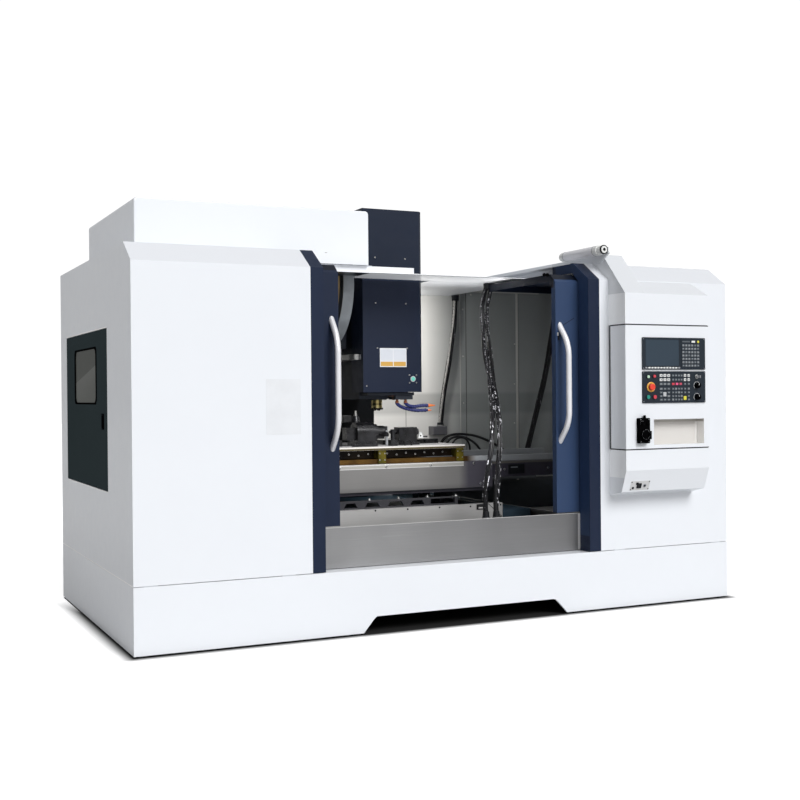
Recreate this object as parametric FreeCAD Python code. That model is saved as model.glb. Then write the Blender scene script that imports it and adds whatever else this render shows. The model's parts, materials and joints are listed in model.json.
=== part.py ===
import FreeCAD, Part
import math, os

# A vertical machining center: cast bed, saddle, T-slot table, column and head,
# inside a sheet-metal enclosure with two sliding doors, a swinging control
# pendant, a disc tool magazine and a swap arm. Millimetres.
# Layout frame used below: x from the enclosure's left side to its right side,
# y from the plinth's front face to the back, z up from the plinth's lower edge.
# At the end every piece is moved so that the origin is under the middle of the
# whole machine, on the floor.

V = FreeCAD.Vector

# ---- driving dimensions ----
W = 4300.0            # enclosure width
D = 2302.0            # enclosure side depth
FLOOR_GAP = 10.0      # plinth edge above the floor
T = 3.0               # sheet thickness
Z_PLINTH = 392.0      # top of the plinth
Z_PANEL = 396.0       # lower edge of the upper panels
Z_CHAMFER = 2253.0    # where the front face starts to lean back
Z_ROOF = 2378.0       # top of the roof sheets
Y_CHAMFER = 184.0     # how far the lean goes back
X_L1, X_L2 = 1090.0, 1175.0      # left door frame post
X_R1, X_R2 = 3110.0, 3200.0      # right door frame post
X_C1, X_C2 = 3275.0, 3980.0      # control column
Y_C = -190.0                     # front of the control column
PEND_Z0, PEND_Z1 = 1091.0, 1936.0
DOOR_Y = 130.0        # door front plane
DOOR_T = 50.0
DOOR_Z0, DOOR_ZC, DOOR_ZT = 658.0, 2240.0, 2295.0
DOOR_ROOF_Y = 1030.0
LDOOR = (330.0, 1325.0)
RDOOR = (2930.0, 3925.0)
SP_X, SP_Y = 2150.0, 1380.0      # spindle axis
NOSE_Z = 1365.0                  # spindle face
HEAD = (1910.0, 2390.0, 1080.0)  # head cover sides and front
HEAD_Z0, HEAD_Z1 = 1494.0, 2820.0
COL_Y = 2400.0                   # column front face
TAB = (855.0, 2655.0, 930.0, 1800.0)
TAB_Z0, TAB_ZS, TAB_Z1 = 1022.0, 1082.0, 1107.0
SLOTS_Y = (1045.0, 1205.0, 1365.0, 1525.0, 1685.0)
SAD = (420.0, 3880.0, 880.0, 1800.0)
RAIL_TOP = 1018.0
MAG_Y, MAG_Z, MAG_R = 1380.0, 2270.0, 450.0
ARM_X, ARM_L = 1840.0, 310.0
CHUCK_Y, CHUCK_Z = 1150.0, 1202.0
LAMP = (3215.0, 0.0, 2452.0)     # signal lamp pivot
WALL_Y = 2200.0                  # back wall of the work area
Y_REAR = 3290.0                  # rearmost face (Y motor)
Y_FRONT = -252.0                 # foremost face (handwheel dial)

CX, CY = W / 2.0, (Y_FRONT + Y_REAR) / 2.0
SHIFT = V(-CX, -CY, FLOOR_GAP)

os.makedirs("parts", exist_ok=True)
MADE = []


def out(name, *shapes):
    solids = []
    for s in shapes:
        solids += s.Solids
    s = solids[0] if len(solids) == 1 else Part.makeCompound(solids)
    s = s.copy()
    s.translate(SHIFT)
    assert s.isValid(), name
    s.exportStep("parts/%s.step" % name)
    b = s.BoundBox
    MADE.append(name)
    print("%-24s solids %2d  vol %.4f m3  box %.0f %.0f %.0f .. %.0f %.0f %.0f" % (
        name, len(solids), s.Volume / 1e9, b.XMin, b.YMin, b.ZMin, b.XMax, b.YMax, b.ZMax))


def box(x0, x1, y0, y1, z0, z1):
    return Part.makeBox(x1 - x0, y1 - y0, z1 - z0, V(x0, y0, z0))


def cyl(axis, r, x, y, z, length):
    d = {"x": V(1, 0, 0), "y": V(0, 1, 0), "z": V(0, 0, 1)}[axis]
    return Part.makeCylinder(r, length, V(x, y, z), d)


def cone(axis, r1, r2, x, y, z, length):
    d = {"x": V(1, 0, 0), "y": V(0, 1, 0), "z": V(0, 0, 1)}[axis]
    return Part.makeCone(r1, r2, length, V(x, y, z), d)


def prism(plane, pts, a, b):
    """Extrude a polygon: plane 'yz' along x, 'xz' along y, 'xy' along z."""
    if plane == "yz":
        q = [V(a, p[0], p[1]) for p in pts]
        d = V(b - a, 0, 0)
    elif plane == "xz":
        q = [V(p[0], a, p[1]) for p in pts]
        d = V(0, b - a, 0)
    else:
        q = [V(p[0], p[1], a) for p in pts]
        d = V(0, 0, b - a)
    return Part.Face(Part.makePolygon(q + [q[0]])).extrude(d)


def offset_line(pts, t):
    """Offset an open polyline by t to its left, with mitred corners."""
    n = len(pts)
    nor = []
    for i in range(n - 1):
        dx, dy = pts[i + 1][0] - pts[i][0], pts[i + 1][1] - pts[i][1]
        l = math.hypot(dx, dy)
        nor.append((-dy / l, dx / l))
    res = []
    for i in range(n):
        if i == 0:
            a = b = nor[0]
        elif i == n - 1:
            a = b = nor[-1]
        else:
            a, b = nor[i - 1], nor[i]
        k = 1 + a[0] * b[0] + a[1] * b[1]
        res.append((pts[i][0] + t * (a[0] + b[0]) / k, pts[i][1] + t * (a[1] + b[1]) / k))
    return res


def folded(plane, pts, t, a, b):
    """A folded sheet: the polyline thickened by t to its left, then extruded."""
    return prism(plane, list(pts) + list(reversed(offset_line(pts, t))), a, b)


def inset(poly, t):
    """Move a closed polygon's edges inwards by t (counter-clockwise order)."""
    n = len(poly)
    res = []
    for i in range(n):
        p0, p1, p2 = poly[i - 1], poly[i], poly[(i + 1) % n]
        a = (p1[0] - p0[0], p1[1] - p0[1])
        b = (p2[0] - p1[0], p2[1] - p1[1])
        la, lb = math.hypot(*a), math.hypot(*b)
        na = (-a[1] / la, a[0] / la)
        nb = (-b[1] / lb, b[0] / lb)
        k = 1 + na[0] * nb[0] + na[1] * nb[1]
        res.append((p1[0] + t * (na[0] + nb[0]) / k, p1[1] + t * (na[1] + nb[1]) / k))
    return res


def rounded(plane, a0, a1, b0, b1, r, d0, d1):
    """Rounded rectangle prism: plane 'yz' (a=y, b=z) or 'xz' (a=x, b=z)."""
    s = box(d0, d1, a0, a1, b0, b1) if plane == "yz" else box(a0, a1, d0, d1, b0, b1)
    k = (lambda e: abs(e.Vertexes[0].X - e.Vertexes[1].X)) if plane == "yz" else (
        lambda e: abs(e.Vertexes[0].Y - e.Vertexes[1].Y))
    return s.makeFillet(r, [e for e in s.Edges if k(e) > 1e-6])


def tube(name, pts, r, show=True):
    """A round tube along straight runs joined by tangent arcs."""
    P = [V(*p) for p in pts]
    edges, start, length, rad = [], P[0], 0.0, []
    for i in range(1, len(P) - 1):
        a, b = P[i] - P[i - 1], P[i + 1] - P[i]
        la, lb = a.Length, b.Length
        a.normalize(); b.normalize()
        turn = math.acos(max(-1, min(1, a.dot(b))))
        R = 0.45 * min(la, lb) / math.tan(turn / 2)
        cut = R * math.tan(turn / 2)
        s, e = P[i] - a * cut, P[i] + b * cut
        mid_dir = (b - a); mid_dir.normalize()
        c = P[i] + mid_dir * (R / math.cos(turn / 2))
        m = c - mid_dir * R
        edges.append(Part.LineSegment(start, s).toShape())
        edges.append(Part.Arc(s, m, e).toShape())
        length += (s - start).Length + R * turn
        start = e
        rad.append(round(R))
    edges.append(Part.LineSegment(start, P[-1]).toShape())
    length += (P[-1] - start).Length
    path = Part.Wire(edges)
    d0 = P[1] - P[0]
    prof = Part.Wire([Part.Circle(P[0], d0, r).toShape()])
    s = path.makePipeShell([prof], True, False)
    s = s if s.ShapeType == "Solid" else Part.Solid(s)
    if s.Volume < 0:
        s.reverse()
    if show:
        print("  tube %s: length %.0f, radii %s, volume ratio %.4f" % (
            name, length, rad, s.Volume / (math.pi * r * r * length)))
    return s


def mirror_x(shape, about):
    return shape.mirror(V(about, 0, 0), V(1, 0, 0))


# ================= bed, column, guideways =================
base = box(1250, 3050, 665, 2260, 40, 640).fuse(box(1550, 2750, 2260, 3150, 40, 640))
for x0, x1 in ((1295, 1680), (1720, 2130), (2170, 2580), (2620, 3005)):
    for y0, y1 in ((710, 1420), (1460, 2215)):
        base = base.cut(box(x0, x1, y0, y1, 82, 598))
for x0, x1 in ((1595, 2130), (2170, 2705)):
    base = base.cut(box(x0, x1, 2300, 3105, 82, 598))
pads_at = [(1190, 800), (1190, 1470), (1190, 2150), (3110, 800), (3110, 1470), (3110, 2150),
           (1490, 2560), (1490, 3060), (2810, 2560), (2810, 3060)]
for x, y in pads_at:
    side = 1 if x > 2150 else -1
    lug = box(min(x + 62, x - 62), max(x + 62, x - 62), y - 60, y + 60, 40, 95)
    base = base.fuse(lug)
for x, y in pads_at:
    base = base.cut(cyl("z", 16, x, y, 30, 80))
out("base_casting", base)

pads = []
for x, y in pads_at:
    hexa = prism("xy", [(x + 24 * math.cos(math.radians(a)), y + 24 * math.sin(math.radians(a)))
                        for a in range(0, 360, 60)], 95, 117)
    p = cyl("z", 62, x, y, -FLOOR_GAP, 22).fuse(cone("z", 62, 34, x, y, 12, 28)).fuse(
        cyl("z", 14, x, y, 40, 110)).fuse(hexa)
    pads.append(p)
for x, y in ((40, 10), (1350, 10), (3000, 10), (4260, 10), (10, 1200), (10, 2240), (4290, 1200), (4290, 2240)):
    pads.append(cyl("z", 9, x, y, -FLOOR_GAP, FLOOR_GAP))
out("leveling_pads", *pads)

col = prism("yz", [(COL_Y, 640), (3050, 640), (3050, 2380), (2860, 2750), (COL_Y, 2750)], 1700, 2600)
col = col.fuse(box(1610, 2690, COL_Y, 3150, 640, 690))
col = col.cut(prism("yz", [(COL_Y + 45, 695), (3005, 695), (3005, 2370), (2835, 2705), (COL_Y + 45, 2705)],
                    1745, 2130))
col = col.cut(prism("yz", [(COL_Y + 45, 695), (3005, 695), (3005, 2370), (2835, 2705), (COL_Y + 45, 2705)],
                    2170, 2555))
for z0, z1 in ((820, 1250), (1350, 1780), (1880, 2250)):
    for x0, x1 in ((1790, 2090), (2210, 2510)):
        col = col.cut(rounded("xz", x0, x1, z0, z1, 60, 3034, 3060))
out("column_casting", col)

rails = [box(x, x + 45, 700, 2190, 640, 690) for x in (1600, 2655)]
rails += [box(x, x + 45, 2360, COL_Y, 760, 2740) for x in (1900, 2355)]
out("guide_rails", *rails)

mz = box(2060, 2240, 2300, 2500, 2750, 2770).fuse(box(2085, 2215, 2305, 2435, 2770, 2925)).fuse(
    cyl("z", 52, 2150, 2370, 2925, 12)).fuse(box(2130, 2170, 2435, 2475, 2830, 2880))
my = box(2060, 2240, 3150, 3170, 420, 600).fuse(box(2085, 2215, 3170, 3278, 445, 575)).fuse(
    cyl("y", 52, 2150, 3278, 510, 12)).fuse(box(2130, 2170, 3190, 3240, 575, 620))
out("servo_motors", mz, my)

# ================= plinth =================
notch = [(1425, 0), (1440, 18), (1498, 86), (1516, 98), (2822, 98), (2840, 86), (2905, 18), (2920, 0)]
sk = [(0, 0)] + notch + [(W, 0), (W, Z_PLINTH), (0, Z_PLINTH)]
front = prism("xz", sk, 0, 20).cut(prism("xz", inset(sk, T), T, 21))
front = front.fuse(box(X_L2, X_R1, 20, 140, Z_PLINTH - T, Z_PLINTH))
left = box(0, 20, 20, D, 0, Z_PLINTH).cut(box(T, 21, 20 + T, D - T, T, Z_PLINTH - T))
right = mirror_x(left, CX)
rl = box(20, 1500, D - 20, D, 0, Z_PLINTH).cut(box(20 + T, 1497, D - 21, D - T, T, Z_PLINTH - T))
rr = mirror_x(rl, CX)
for x in (60, 900, 3320, 4160):
    front = front.fuse(box(x, x + 80, 6, 16, Z_PLINTH, Z_PANEL))
for y in (300, 1900):
    left = left.fuse(box(6, 16, y, y + 80, Z_PLINTH, Z_PANEL))
    right = right.fuse(box(W - 16, W - 6, y, y + 80, Z_PLINTH, Z_PANEL))
out("skirt_panels", front, left, right, rl, rr)

# ================= front panels and frame posts =================
prof = [(20, Z_PANEL), (0, Z_PANEL), (0, Z_CHAMFER), (Y_CHAMFER, Z_ROOF), (215, Z_ROOF)]


def front_sheet(x0, x1):
    return folded("yz", prof, -T, x0, x1)


fl = front_sheet(0, X_L1)
fr = front_sheet(X_R2, W)
out("front_panels", fl, fr)


def post(x0, x1, xin):
    side = prism("yz", [(0, Z_PANEL), (120, Z_PANEL), (120, 2247), (195, 2310), (440, 2310), (440, Z_ROOF - T),
                        (215, Z_ROOF - T), (215, Z_ROOF), (Y_CHAMFER, Z_ROOF), (0, Z_CHAMFER)], xin, xin + T)
    return front_sheet(x0, x1).fuse(side)


out("door_frame_posts", post(X_L1, X_L2, X_L2 - T), post(X_R1, X_R2, X_R1))

# ================= side panels, roof, magazine cover =================
sp = [(T, Z_PANEL), (D, Z_PANEL), (D, Z_ROOF - T), (186, Z_ROOF - T), (T, 2250)]
blank = prism("yz", sp, 0, 20).cut(prism("yz", inset(sp, T), T, 21))
sr = mirror_x(blank, CX)
frame = box(0, 20, 664 - 30, 2065 + 30, 889 - 30, 1904 + 30).cut(
    box(T, 21, 664 - 27, 2065 + 27, 889 - 27, 1904 + 27))
sl = blank.fuse(frame).fuse(box(0, 20, 661, 2068, 886, 1907)).cut(box(-1, 21, 664, 2065, 889, 1904))
sl = sl.cut(fl)
sr = sr.cut(fr)
out("side_panels", sl, sr)

roof_l = prism("xy", [(0, 215), (X_L2, 215), (X_L2, 845), (1880, 845), (1880, D), (0, D)], Z_ROOF - T, Z_ROOF)
roof_l = roof_l.cut(box(1340, 1800, 925, 1835, Z_ROOF - 10, Z_ROOF + 10))
roof_r = box(X_R1, W, 215, D, Z_ROOF - T, Z_ROOF).fuse(box(X_R2, X_R2 + T, 440, WALL_Y, 2318, Z_ROOF - T))
roof_m = box(2450, X_R2, 1064, WALL_Y, 2312, 2315).fuse(box(2450, 2453, 1064, WALL_Y, 2315, 2345))
out("roof_panels", roof_l, roof_r, roof_m)

mc = box(210, 1845, 820, 2300, Z_ROOF, 2753)
mc = mc.makeFillet(25, [e for e in mc.Edges if abs(e.BoundBox.ZMin - 2753) < 1 and e.BoundBox.XLength < 1])
mc = mc.makeFillet(8, [e for e in mc.Edges if e.BoundBox.XLength < 1 and e.BoundBox.YLength < 1 and e.BoundBox.ZLength > 200])
mi = box(213, 1842, 823, 2297, Z_ROOF - 5, 2750)
mi = mi.makeFillet(22, [e for e in mi.Edges if abs(e.BoundBox.ZMin - 2750) < 1 and e.BoundBox.XLength < 1])
out("magazine_cover", mc.cut(mi))

beam = box(X_L2, 2210, 850, 900, 2318, Z_ROOF - T).cut(box(X_L2 - 1, 2211, 853, 897, 2321, Z_ROOF - 6))
plate = box(X_L2 + 3, X_R2, 700, 915, 2312, 2318).fuse(box(1800, X_R2, 915, 1060, 2312, 2318))
out("roof_front_beam", beam.fuse(plate))

# ================= back wall, guards =================
wall = prism("xz", [(20, Z_PANEL), (1240, Z_PANEL), (1240, 650), (3060, 650), (3060, Z_PANEL), (W - 20, Z_PANEL),
                    (W - 20, Z_ROOF - T), (X_R2, Z_ROOF - T), (X_R2, 2312), (2450, 2312), (2450, Z_ROOF - T), (20, Z_ROOF - T)],
             WALL_Y, WALL_Y + T)
wall = wall.cut(box(1890, 2480, WALL_Y - 5, WALL_Y + 10, 1425, 2400))
wall = wall.cut(box(1785, 1895, WALL_Y - 5, WALL_Y + 10, 1890, 2160))
wall = wall.cut(box(1712, 1786, WALL_Y - 5, WALL_Y + 10, 1992, 2158))
zlow = box(1900, 2475, 2165, 2168, 655, 1420).fuse(box(1910, 2465, 2168, WALL_Y, 700, 720)).fuse(
    box(1910, 2465, 2168, WALL_Y, 1300, 1320))
jb = box(3000, 3130, 2100, WALL_Y, 1135, 1207)
jb = jb.makeFillet(6, jb.Edges).fuse(cyl("z", 30, 3080, 2136, 1205, 12))
man1 = box(3060, 3180, 2056, WALL_Y, 900, 985)
man2 = box(3300, 3990, 2080, WALL_Y, 740, 800)
out("rear_wall", wall, zlow, jb, man1, man2)

tray = folded("yz", [(600, 430), (600, 700), (632, 700)], -T, 1250, 2776).fuse(box(2773, 2776, 600, 660, 430, 700))
comb = box(1250, 2430, 630, 656, 700, 757)
for x0, x1 in ((1561, 1662), (1716, 1828), (1886, 2010), (2056, 2169), (1400, 1505)):
    comb = comb.cut(prism("xz", [(x0, 712), (x1, 712), (x1 - 18, 744), (x0 + 18, 744)], 620, 670))
comb = comb.cut(box(2216, 2407, 620, 670, 712, 749))
pan_r = folded("xz", [(3050, 640), (3300, 470), (W - T, 470), (W - T, 640)], T, 335, WALL_Y)
pan_l = mirror_x(pan_r, CX)
floor = box(1250, 3050, 330, 665, 427, 430)
out("chip_guard", tray, comb, pan_r, pan_l, floor)

sill = folded("yz", [(140, 396), (118, 396), (118, 652), (330, 620), (330, 427)], -T, X_L2, X_R1)
for x in (2447, 2528):
    sill = sill.fuse(cyl("z", 28, x, 262, 624, 18))
out("door_sill", sill)

# ================= control column =================
up = prism("yz", [(0, 1940), (Y_C, 1940), (Y_C, 2147), (0, 2250)], X_C1, X_C2).cut(
    prism("yz", [(1, 1943), (Y_C + T, 1943), (Y_C + T, 2145), (1, 2247)], X_C1 + T, X_C2 - T))
lo = prism("yz", [(0, 770), (-137, 803), (Y_C, 950), (Y_C, 1087), (0, 1087)], X_C1, X_C2).cut(
    prism("yz", [(1, 773.5), (-135, 806), (Y_C + T, 951), (Y_C + T, 1084), (1, 1084)], X_C1 + T, X_C2 - T))
low_edge = [(Y_C, 2147), (0, 2250), (0, Z_CHAMFER), (Y_CHAMFER, Z_ROOF), (2300, Z_ROOF)]
duct = prism("yz", low_edge + [(2300, 2430), (64, 2430)], X_C1, X_C1 + 161).cut(
    prism("yz", low_edge[1:4] + [(2297, Z_ROOF), (2297, 2427), (65.5, 2427), (-186, 2149)],
          X_C1 + T, X_C1 + 158))
brk = prism("yz", [(-22, 2432), (70, 2380), (120, 2380), (120, 2476), (-22, 2476)], X_C1 - 12, X_C1).cut(
    cyl("x", 8.05, X_C1 - 20, LAMP[1], LAMP[2], 40))
PIVOT = (3290.0, -28.0)
up = up.fuse(cyl("z", 6, PIVOT[0], PIVOT[1], 1922, 20))
lo = lo.fuse(cyl("z", 6, PIVOT[0], PIVOT[1], 1085, 20))
out("control_column", up, lo, duct, brk)

# ================= electrical cabinet, coolant tank =================
cab = box(3150, 4150, 2330, 2800, 180, 2200).cut(box(3153, 4147, 2333, 2801, 183, 2197))
cab = cab.fuse(box(3200, 4100, 2333, 2343, 260, 2120))
for x0, x1, z0, z1, dd in ((3230, 3380, 1500, 1880, 190), (3400, 3490, 1500, 1880, 190), (3510, 3600, 1500, 1880, 190),
                           (3620, 3760, 1500, 1880, 210), (3820, 4060, 1560, 1850, 120), (3230, 4060, 1100, 1160, 60),
                           (3230, 3700, 800, 960, 90), (3780, 4060, 420, 760, 180), (3230, 3600, 420, 620, 120)):
    cab = cab.fuse(box(x0, x1, 2343, 2343 + dd, z0, z1))
for x in (3200, 4060):
    cab = cab.fuse(box(x, x + 40, WALL_Y + T, 2330, 600, 1900))
out("electrical_cabinet", cab)
cd = box(3150, 4150, 2802, 2824, 180, 2200).cut(box(3153, 4147, 2801, 2821, 183, 2197))
for k in range(6):
    cd = cd.cut(box(3500, 3800, 2800, 2830, 400 + 40 * k, 415 + 40 * k))
cd = cd.fuse(box(3190, 3215, 2824, 2850, 1080, 1300)).fuse(cyl("y", 45, 3330, 2824, 1750, 8)).fuse(
    box(3322, 3338, 2832, 2850, 1712, 1788))
out("cabinet_door", cd)

tank = box(250, 1400, 2340, 3050, -FLOOR_GAP, 400).cut(box(256, 1394, 2346, 3044, 0, 401)).fuse(
    box(240, 1410, 2330, 3060, 400, 408))
pumps = []
for x in (520, 800):
    pumps.append(cyl("z", 95, x, 2520, 408, 20).fuse(cyl("z", 72, x, 2520, 428, 260)).fuse(
        cyl("z", 66, x, 2520, 688, 50)).fuse(box(x + 60, x + 110, 2490, 2550, 520, 600)))
lid = box(1020, 1360, 2400, 2980, 408, 430)
out("coolant_tank", tank, lid, *pumps)

# ================= magazine and swap arm =================
drum = cyl("x", MAG_R, 1762, MAG_Y, MAG_Z, 18).fuse(
    cyl("x", MAG_R, 1700, MAG_Y, MAG_Z, 62).cut(cyl("x", MAG_R - 12, 1699, MAG_Y, MAG_Z, 64)))
drum = drum.fuse(cyl("x", 70, 1745, MAG_Y, MAG_Z, 20)).fuse(box(1720, 1778, 1790, COL_Y, 2000, 2150))
drum = drum.cut(cyl("x", 25.05, 1740, MAG_Y, MAG_Z, 50))
out("magazine_drum", drum)

disc = cyl("x", 405, 1662, MAG_Y, MAG_Z, 28).fuse(cyl("x", 60, 1690, MAG_Y, MAG_Z, 53)).fuse(
    cyl("x", 25, 1743, MAG_Y, MAG_Z, 34)).fuse(cyl("x", 90, 1640, MAG_Y, MAG_Z, 22))
for k in range(6):
    a = math.radians(60 * k + 30)
    disc = disc.cut(cyl("x", 75, 1660, MAG_Y + 220 * math.cos(a), MAG_Z + 220 * math.sin(a), 40))
pots = []
for k in range(24):
    a = math.radians(15 * k)
    y, z = MAG_Y + 362 * math.cos(a), MAG_Z + 362 * math.sin(a)
    pots.append(cyl("x", 36, 1580, y, z, 82).fuse(cyl("x", 31.5, 1550, y, z, 30)).fuse(
        cone("x", 12, 20, 1500, y, z, 50)))
out("magazine_disc", disc, *pots)

cam = box(1790, 1890, 1330, 1980, 1815, 2250)
cam = cam.makeFillet(8, [e for e in cam.Edges if e.BoundBox.ZLength > 100])
cam = cam.fuse(box(1795, 1875, 1980, COL_Y, 1900, 2150)).cut(cyl("z", 30.05, ARM_X, MAG_Y, 1810, 300))
out("atc_cam_box", cam)
arm = cyl("z", 30, ARM_X, MAG_Y, 1770, 325).fuse(cyl("z", 44, ARM_X, MAG_Y, 1722, 50))
arm = arm.fuse(box(ARM_X - 30, ARM_X + 30, MAG_Y - ARM_L + 20, MAG_Y + ARM_L - 20, 1728, 1766))
for s in (-1, 1):
    arm = arm.fuse(cyl("z", 47, ARM_X, MAG_Y + s * ARM_L, 1728, 38))
for s in (-1, 1):
    y = MAG_Y + s * ARM_L
    arm = arm.cut(cyl("z", 31, ARM_X, y, 1720, 60))
    arm = arm.cut(box(min(ARM_X, ARM_X - s * 60), max(ARM_X, ARM_X - s * 60), y - 26, y + 26, 1720, 1780))
out("atc_arm", arm)

# ================= head =================
neck = prism("yz", [(1250, 1446), (1720, 1446), (2290, 1475), (2290, 1930), (2120, 1950), (1600, 2250), (1560, 2420),
                    (1250, 2420)], 1950, 2350)
head = neck.fuse(box(1892, 2408, 2290, 2356, 1430, 1930)).fuse(cyl("z", 78, SP_X, SP_Y, 1438, 30))
for x in (1884, 1947, 2339, 2402):
    head = head.fuse(box(x, x + 14, 2340, 2390, 1430, 1560)).fuse(box(x, x + 14, 2340, 2390, 1800, 1930))
head = head.cut(box(1990, 2310, 1640, 2360, 1512, 1888)).cut(box(1990, 2310, 1300, 1560, 2040, 2380))
head = head.cut(cyl("z", 50.05, SP_X, SP_Y, 1430, 580))
head = head.fuse(box(2190, 2330, 1130, 1252, 1440, 1488)).fuse(box(2000, 2300, 2120, 2150, 1438, 1480))
motor = box(2035, 2265, 1265, 1495, 2424, 2760)
motor = motor.makeFillet(14, [e for e in motor.Edges if e.BoundBox.ZLength > 100]).fuse(cyl("z", 90, SP_X, SP_Y, 2760, 40)).fuse(
    box(2000, 2300, 1255, 1530, 2420, 2424))
out("head_casting", head, motor)

xa, xb, yf = HEAD
cov_o = [(xa, 1560), (xa, yf), (xb - 22, yf), (xb, yf + 22), (xb, 1560)]
cov_i = [(xa + T, 1561), (xa + T, yf + T), (xb - 23.2, yf + T), (xb - T, yf + 23.2), (xb - T, 1561)]
cov = prism("xy", cov_o, HEAD_Z0, HEAD_Z1).cut(prism("xy", cov_i, HEAD_Z0 - 1, HEAD_Z1 - T))
cov = cov.cut(box(xa - 5, xb + 5, 1290, 1600, HEAD_Z0 - 5, 2350))
zup = box(1900, 2475, 2150, 2153, 655, 1460)
out("head_cover", cov, zup)

h1 = tube("coolant_1", [(2230, 1190, 1440), (2230, 1190, 1412), (2262, 1192, 1388), (2320, 1198, 1370), (2396, 1200, 1358), (2478, 1200, 1358)], 9)
h2 = tube("coolant_2", [(2292, 1176, 1440), (2292, 1176, 1416), (2320, 1180, 1394), (2372, 1190, 1386), (2436, 1196, 1393), (2505, 1196, 1393)], 9)
n1 = cone("x", 10, 4, 2478, 1200, 1358, 40)
n2 = cone("x", 10, 4, 2505, 1196, 1393, 42)
out("coolant_hoses", h1, h2, n1, n2)

sp_ = cyl("z", 50, SP_X, SP_Y, 1446, 544).fuse(cyl("z", 41, SP_X, SP_Y, 1409, 40)).fuse(cyl("z", 38, SP_X, SP_Y, 1404, 8)).fuse(
    cyl("z", 41, SP_X, SP_Y, 1376, 29)).fuse(cyl("z", 48, SP_X, SP_Y, NOSE_Z, 12))
sp_ = sp_.cut(cone("z", 22.225, 12.7, SP_X, SP_Y, NOSE_Z, 65.3)).cut(cyl("z", 12.7, SP_X, SP_Y, 1425, 60))
for s in (-1, 1):
    sp_ = sp_.fuse(box(SP_X - 8, SP_X + 8, SP_Y + s * 36 - 9, SP_Y + s * 36 + 9, NOSE_Z - 8, NOSE_Z + 6))
out("spindle", sp_)

# ================= saddle and table =================
sad = box(1460, 2840, SAD[2], SAD[3], 770, 975).fuse(box(SAD[0], SAD[1], SAD[2], SAD[3], 860, 975))
sad = sad.cut(box(1500, 2800, SAD[2] + 40, SAD[3] - 40, 760, 930))
for x0, x1 in ((460, 1420), (2880, 3840)):
    sad = sad.cut(box(x0, x1, SAD[2] + 40, SAD[3] - 40, 850, 930))
sad = sad.fuse(box(2130, 2170, SAD[2] + 40, SAD[3] - 40, 800, 930))
for x in (1600, 2655):
    for y in (1275, 1640):
        blk = box(x - 28, x + 73, y, y + 110, 655, 775).cut(box(x - 1.5, x + 46.5, y - 1, y + 111, 640, 691.5))
        sad = sad.fuse(blk)
    sad = sad.fuse(box(x - 28, x + 73, 1200, 1780, 770, 935))
mx = box(3880, 3900, 1250, 1430, 790, 970).fuse(box(3900, 4040, 1275, 1405, 815, 945)).fuse(cyl("x", 52, 4040, 1340, 880, 12))
xr = [box(440, 3860, y, y + 42, 975, RAIL_TOP) for y in (948, 1740)]
out("saddle_casting", sad, mx, *xr)
guard = folded("yz", [(866, 795), (850, 795), (850, 985), (930, 985)], -T, 1460, 2840)
for x in (1600, 2130, 2660):
    guard = guard.fuse(box(x, x + 40, 853, SAD[2], 880, 940))
out("saddle_guard", guard)

tab = box(TAB[0], TAB[1], TAB[2], TAB[3], TAB_ZS, TAB_Z1).fuse(box(875, 2635, 1010, 1722, TAB_Z0, TAB_ZS))
for y in SLOTS_Y:
    tab = tab.cut(box(TAB[0] - 1, TAB[1] + 1, y - 11, y + 11, TAB_Z1 - 22, TAB_Z1 + 1))
    tab = tab.cut(box(TAB[0] - 1, TAB[1] + 1, y - 18, y + 18, TAB_Z1 - 36, TAB_Z1 - 21.9))
blocks = []
for xc in (1360, 1988, 2616):
    for y0, y1, c0, c1 in ((934, 1004, 946.5, 991.5), (1726, 1796, 1738.5, 1783.5)):
        blocks.append(box(xc - 29, xc + 29, y0, y1, 988, TAB_ZS).cut(box(xc - 30, xc + 30, c0, c1, 980, RAIL_TOP + 1.5)))
out("table", tab, *blocks)

rt = box(1850, 2010, 1055, 1245, TAB_Z1, 1135).fuse(box(1862, 2006, 1075, 1225, 1135, CHUCK_Z)).fuse(
    cyl("x", 75, 1862, CHUCK_Y, CHUCK_Z, 144)).fuse(box(1790, 1862, 1110, 1190, 1150, 1240))
rt = rt.cut(cyl("x", 20.05, 1980, CHUCK_Y, CHUCK_Z, 40))
out("rotary_table", rt)
ck = cyl("x", 20, 1984, CHUCK_Y, CHUCK_Z, 30).fuse(cyl("x", 62, 2010.5, CHUCK_Y, CHUCK_Z, 22)).fuse(
    cyl("x", 48, 2032, CHUCK_Y, CHUCK_Z, 62))
for k in range(3):
    j = box(2094, 2124, CHUCK_Y - 10, CHUCK_Y + 10, CHUCK_Z + 14, CHUCK_Z + 44)
    j.rotate(V(0, CHUCK_Y, CHUCK_Z), V(1, 0, 0), 120 * k)
    ck = ck.fuse(j)
ck = ck.cut(cyl("x", 12, 2050, CHUCK_Y, CHUCK_Z, 60))
out("rotary_chuck", ck)
ts = box(2190, 2360, 1085, 1215, TAB_Z1, 1128).fuse(box(2205, 2350, 1105, 1195, 1128, 1236)).fuse(
    cyl("x", 16, 2160, CHUCK_Y, CHUCK_Z, 60)).fuse(cone("x", 2, 16, 2138, CHUCK_Y, CHUCK_Z, 22)).fuse(
    cyl("x", 24, 2350, CHUCK_Y, CHUCK_Z, 26))
post_ = box(2085, 2140, 995, 1040, TAB_Z1, 1150).fuse(cyl("z", 17, 2112, 1018, 1150, 76))
plate_ = box(2140, 2600, 1250, 1640, TAB_Z1, 1140)
for x in (2257, 2310, 2430, 2483):
    plate_ = plate_.cut(box(x - 7, x + 7, 1240, 1650, 1128, 1145)).cut(box(x - 13, x + 13, 1240, 1650, 1117, 1128))
out("tailstock", ts, post_, plate_)

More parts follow.
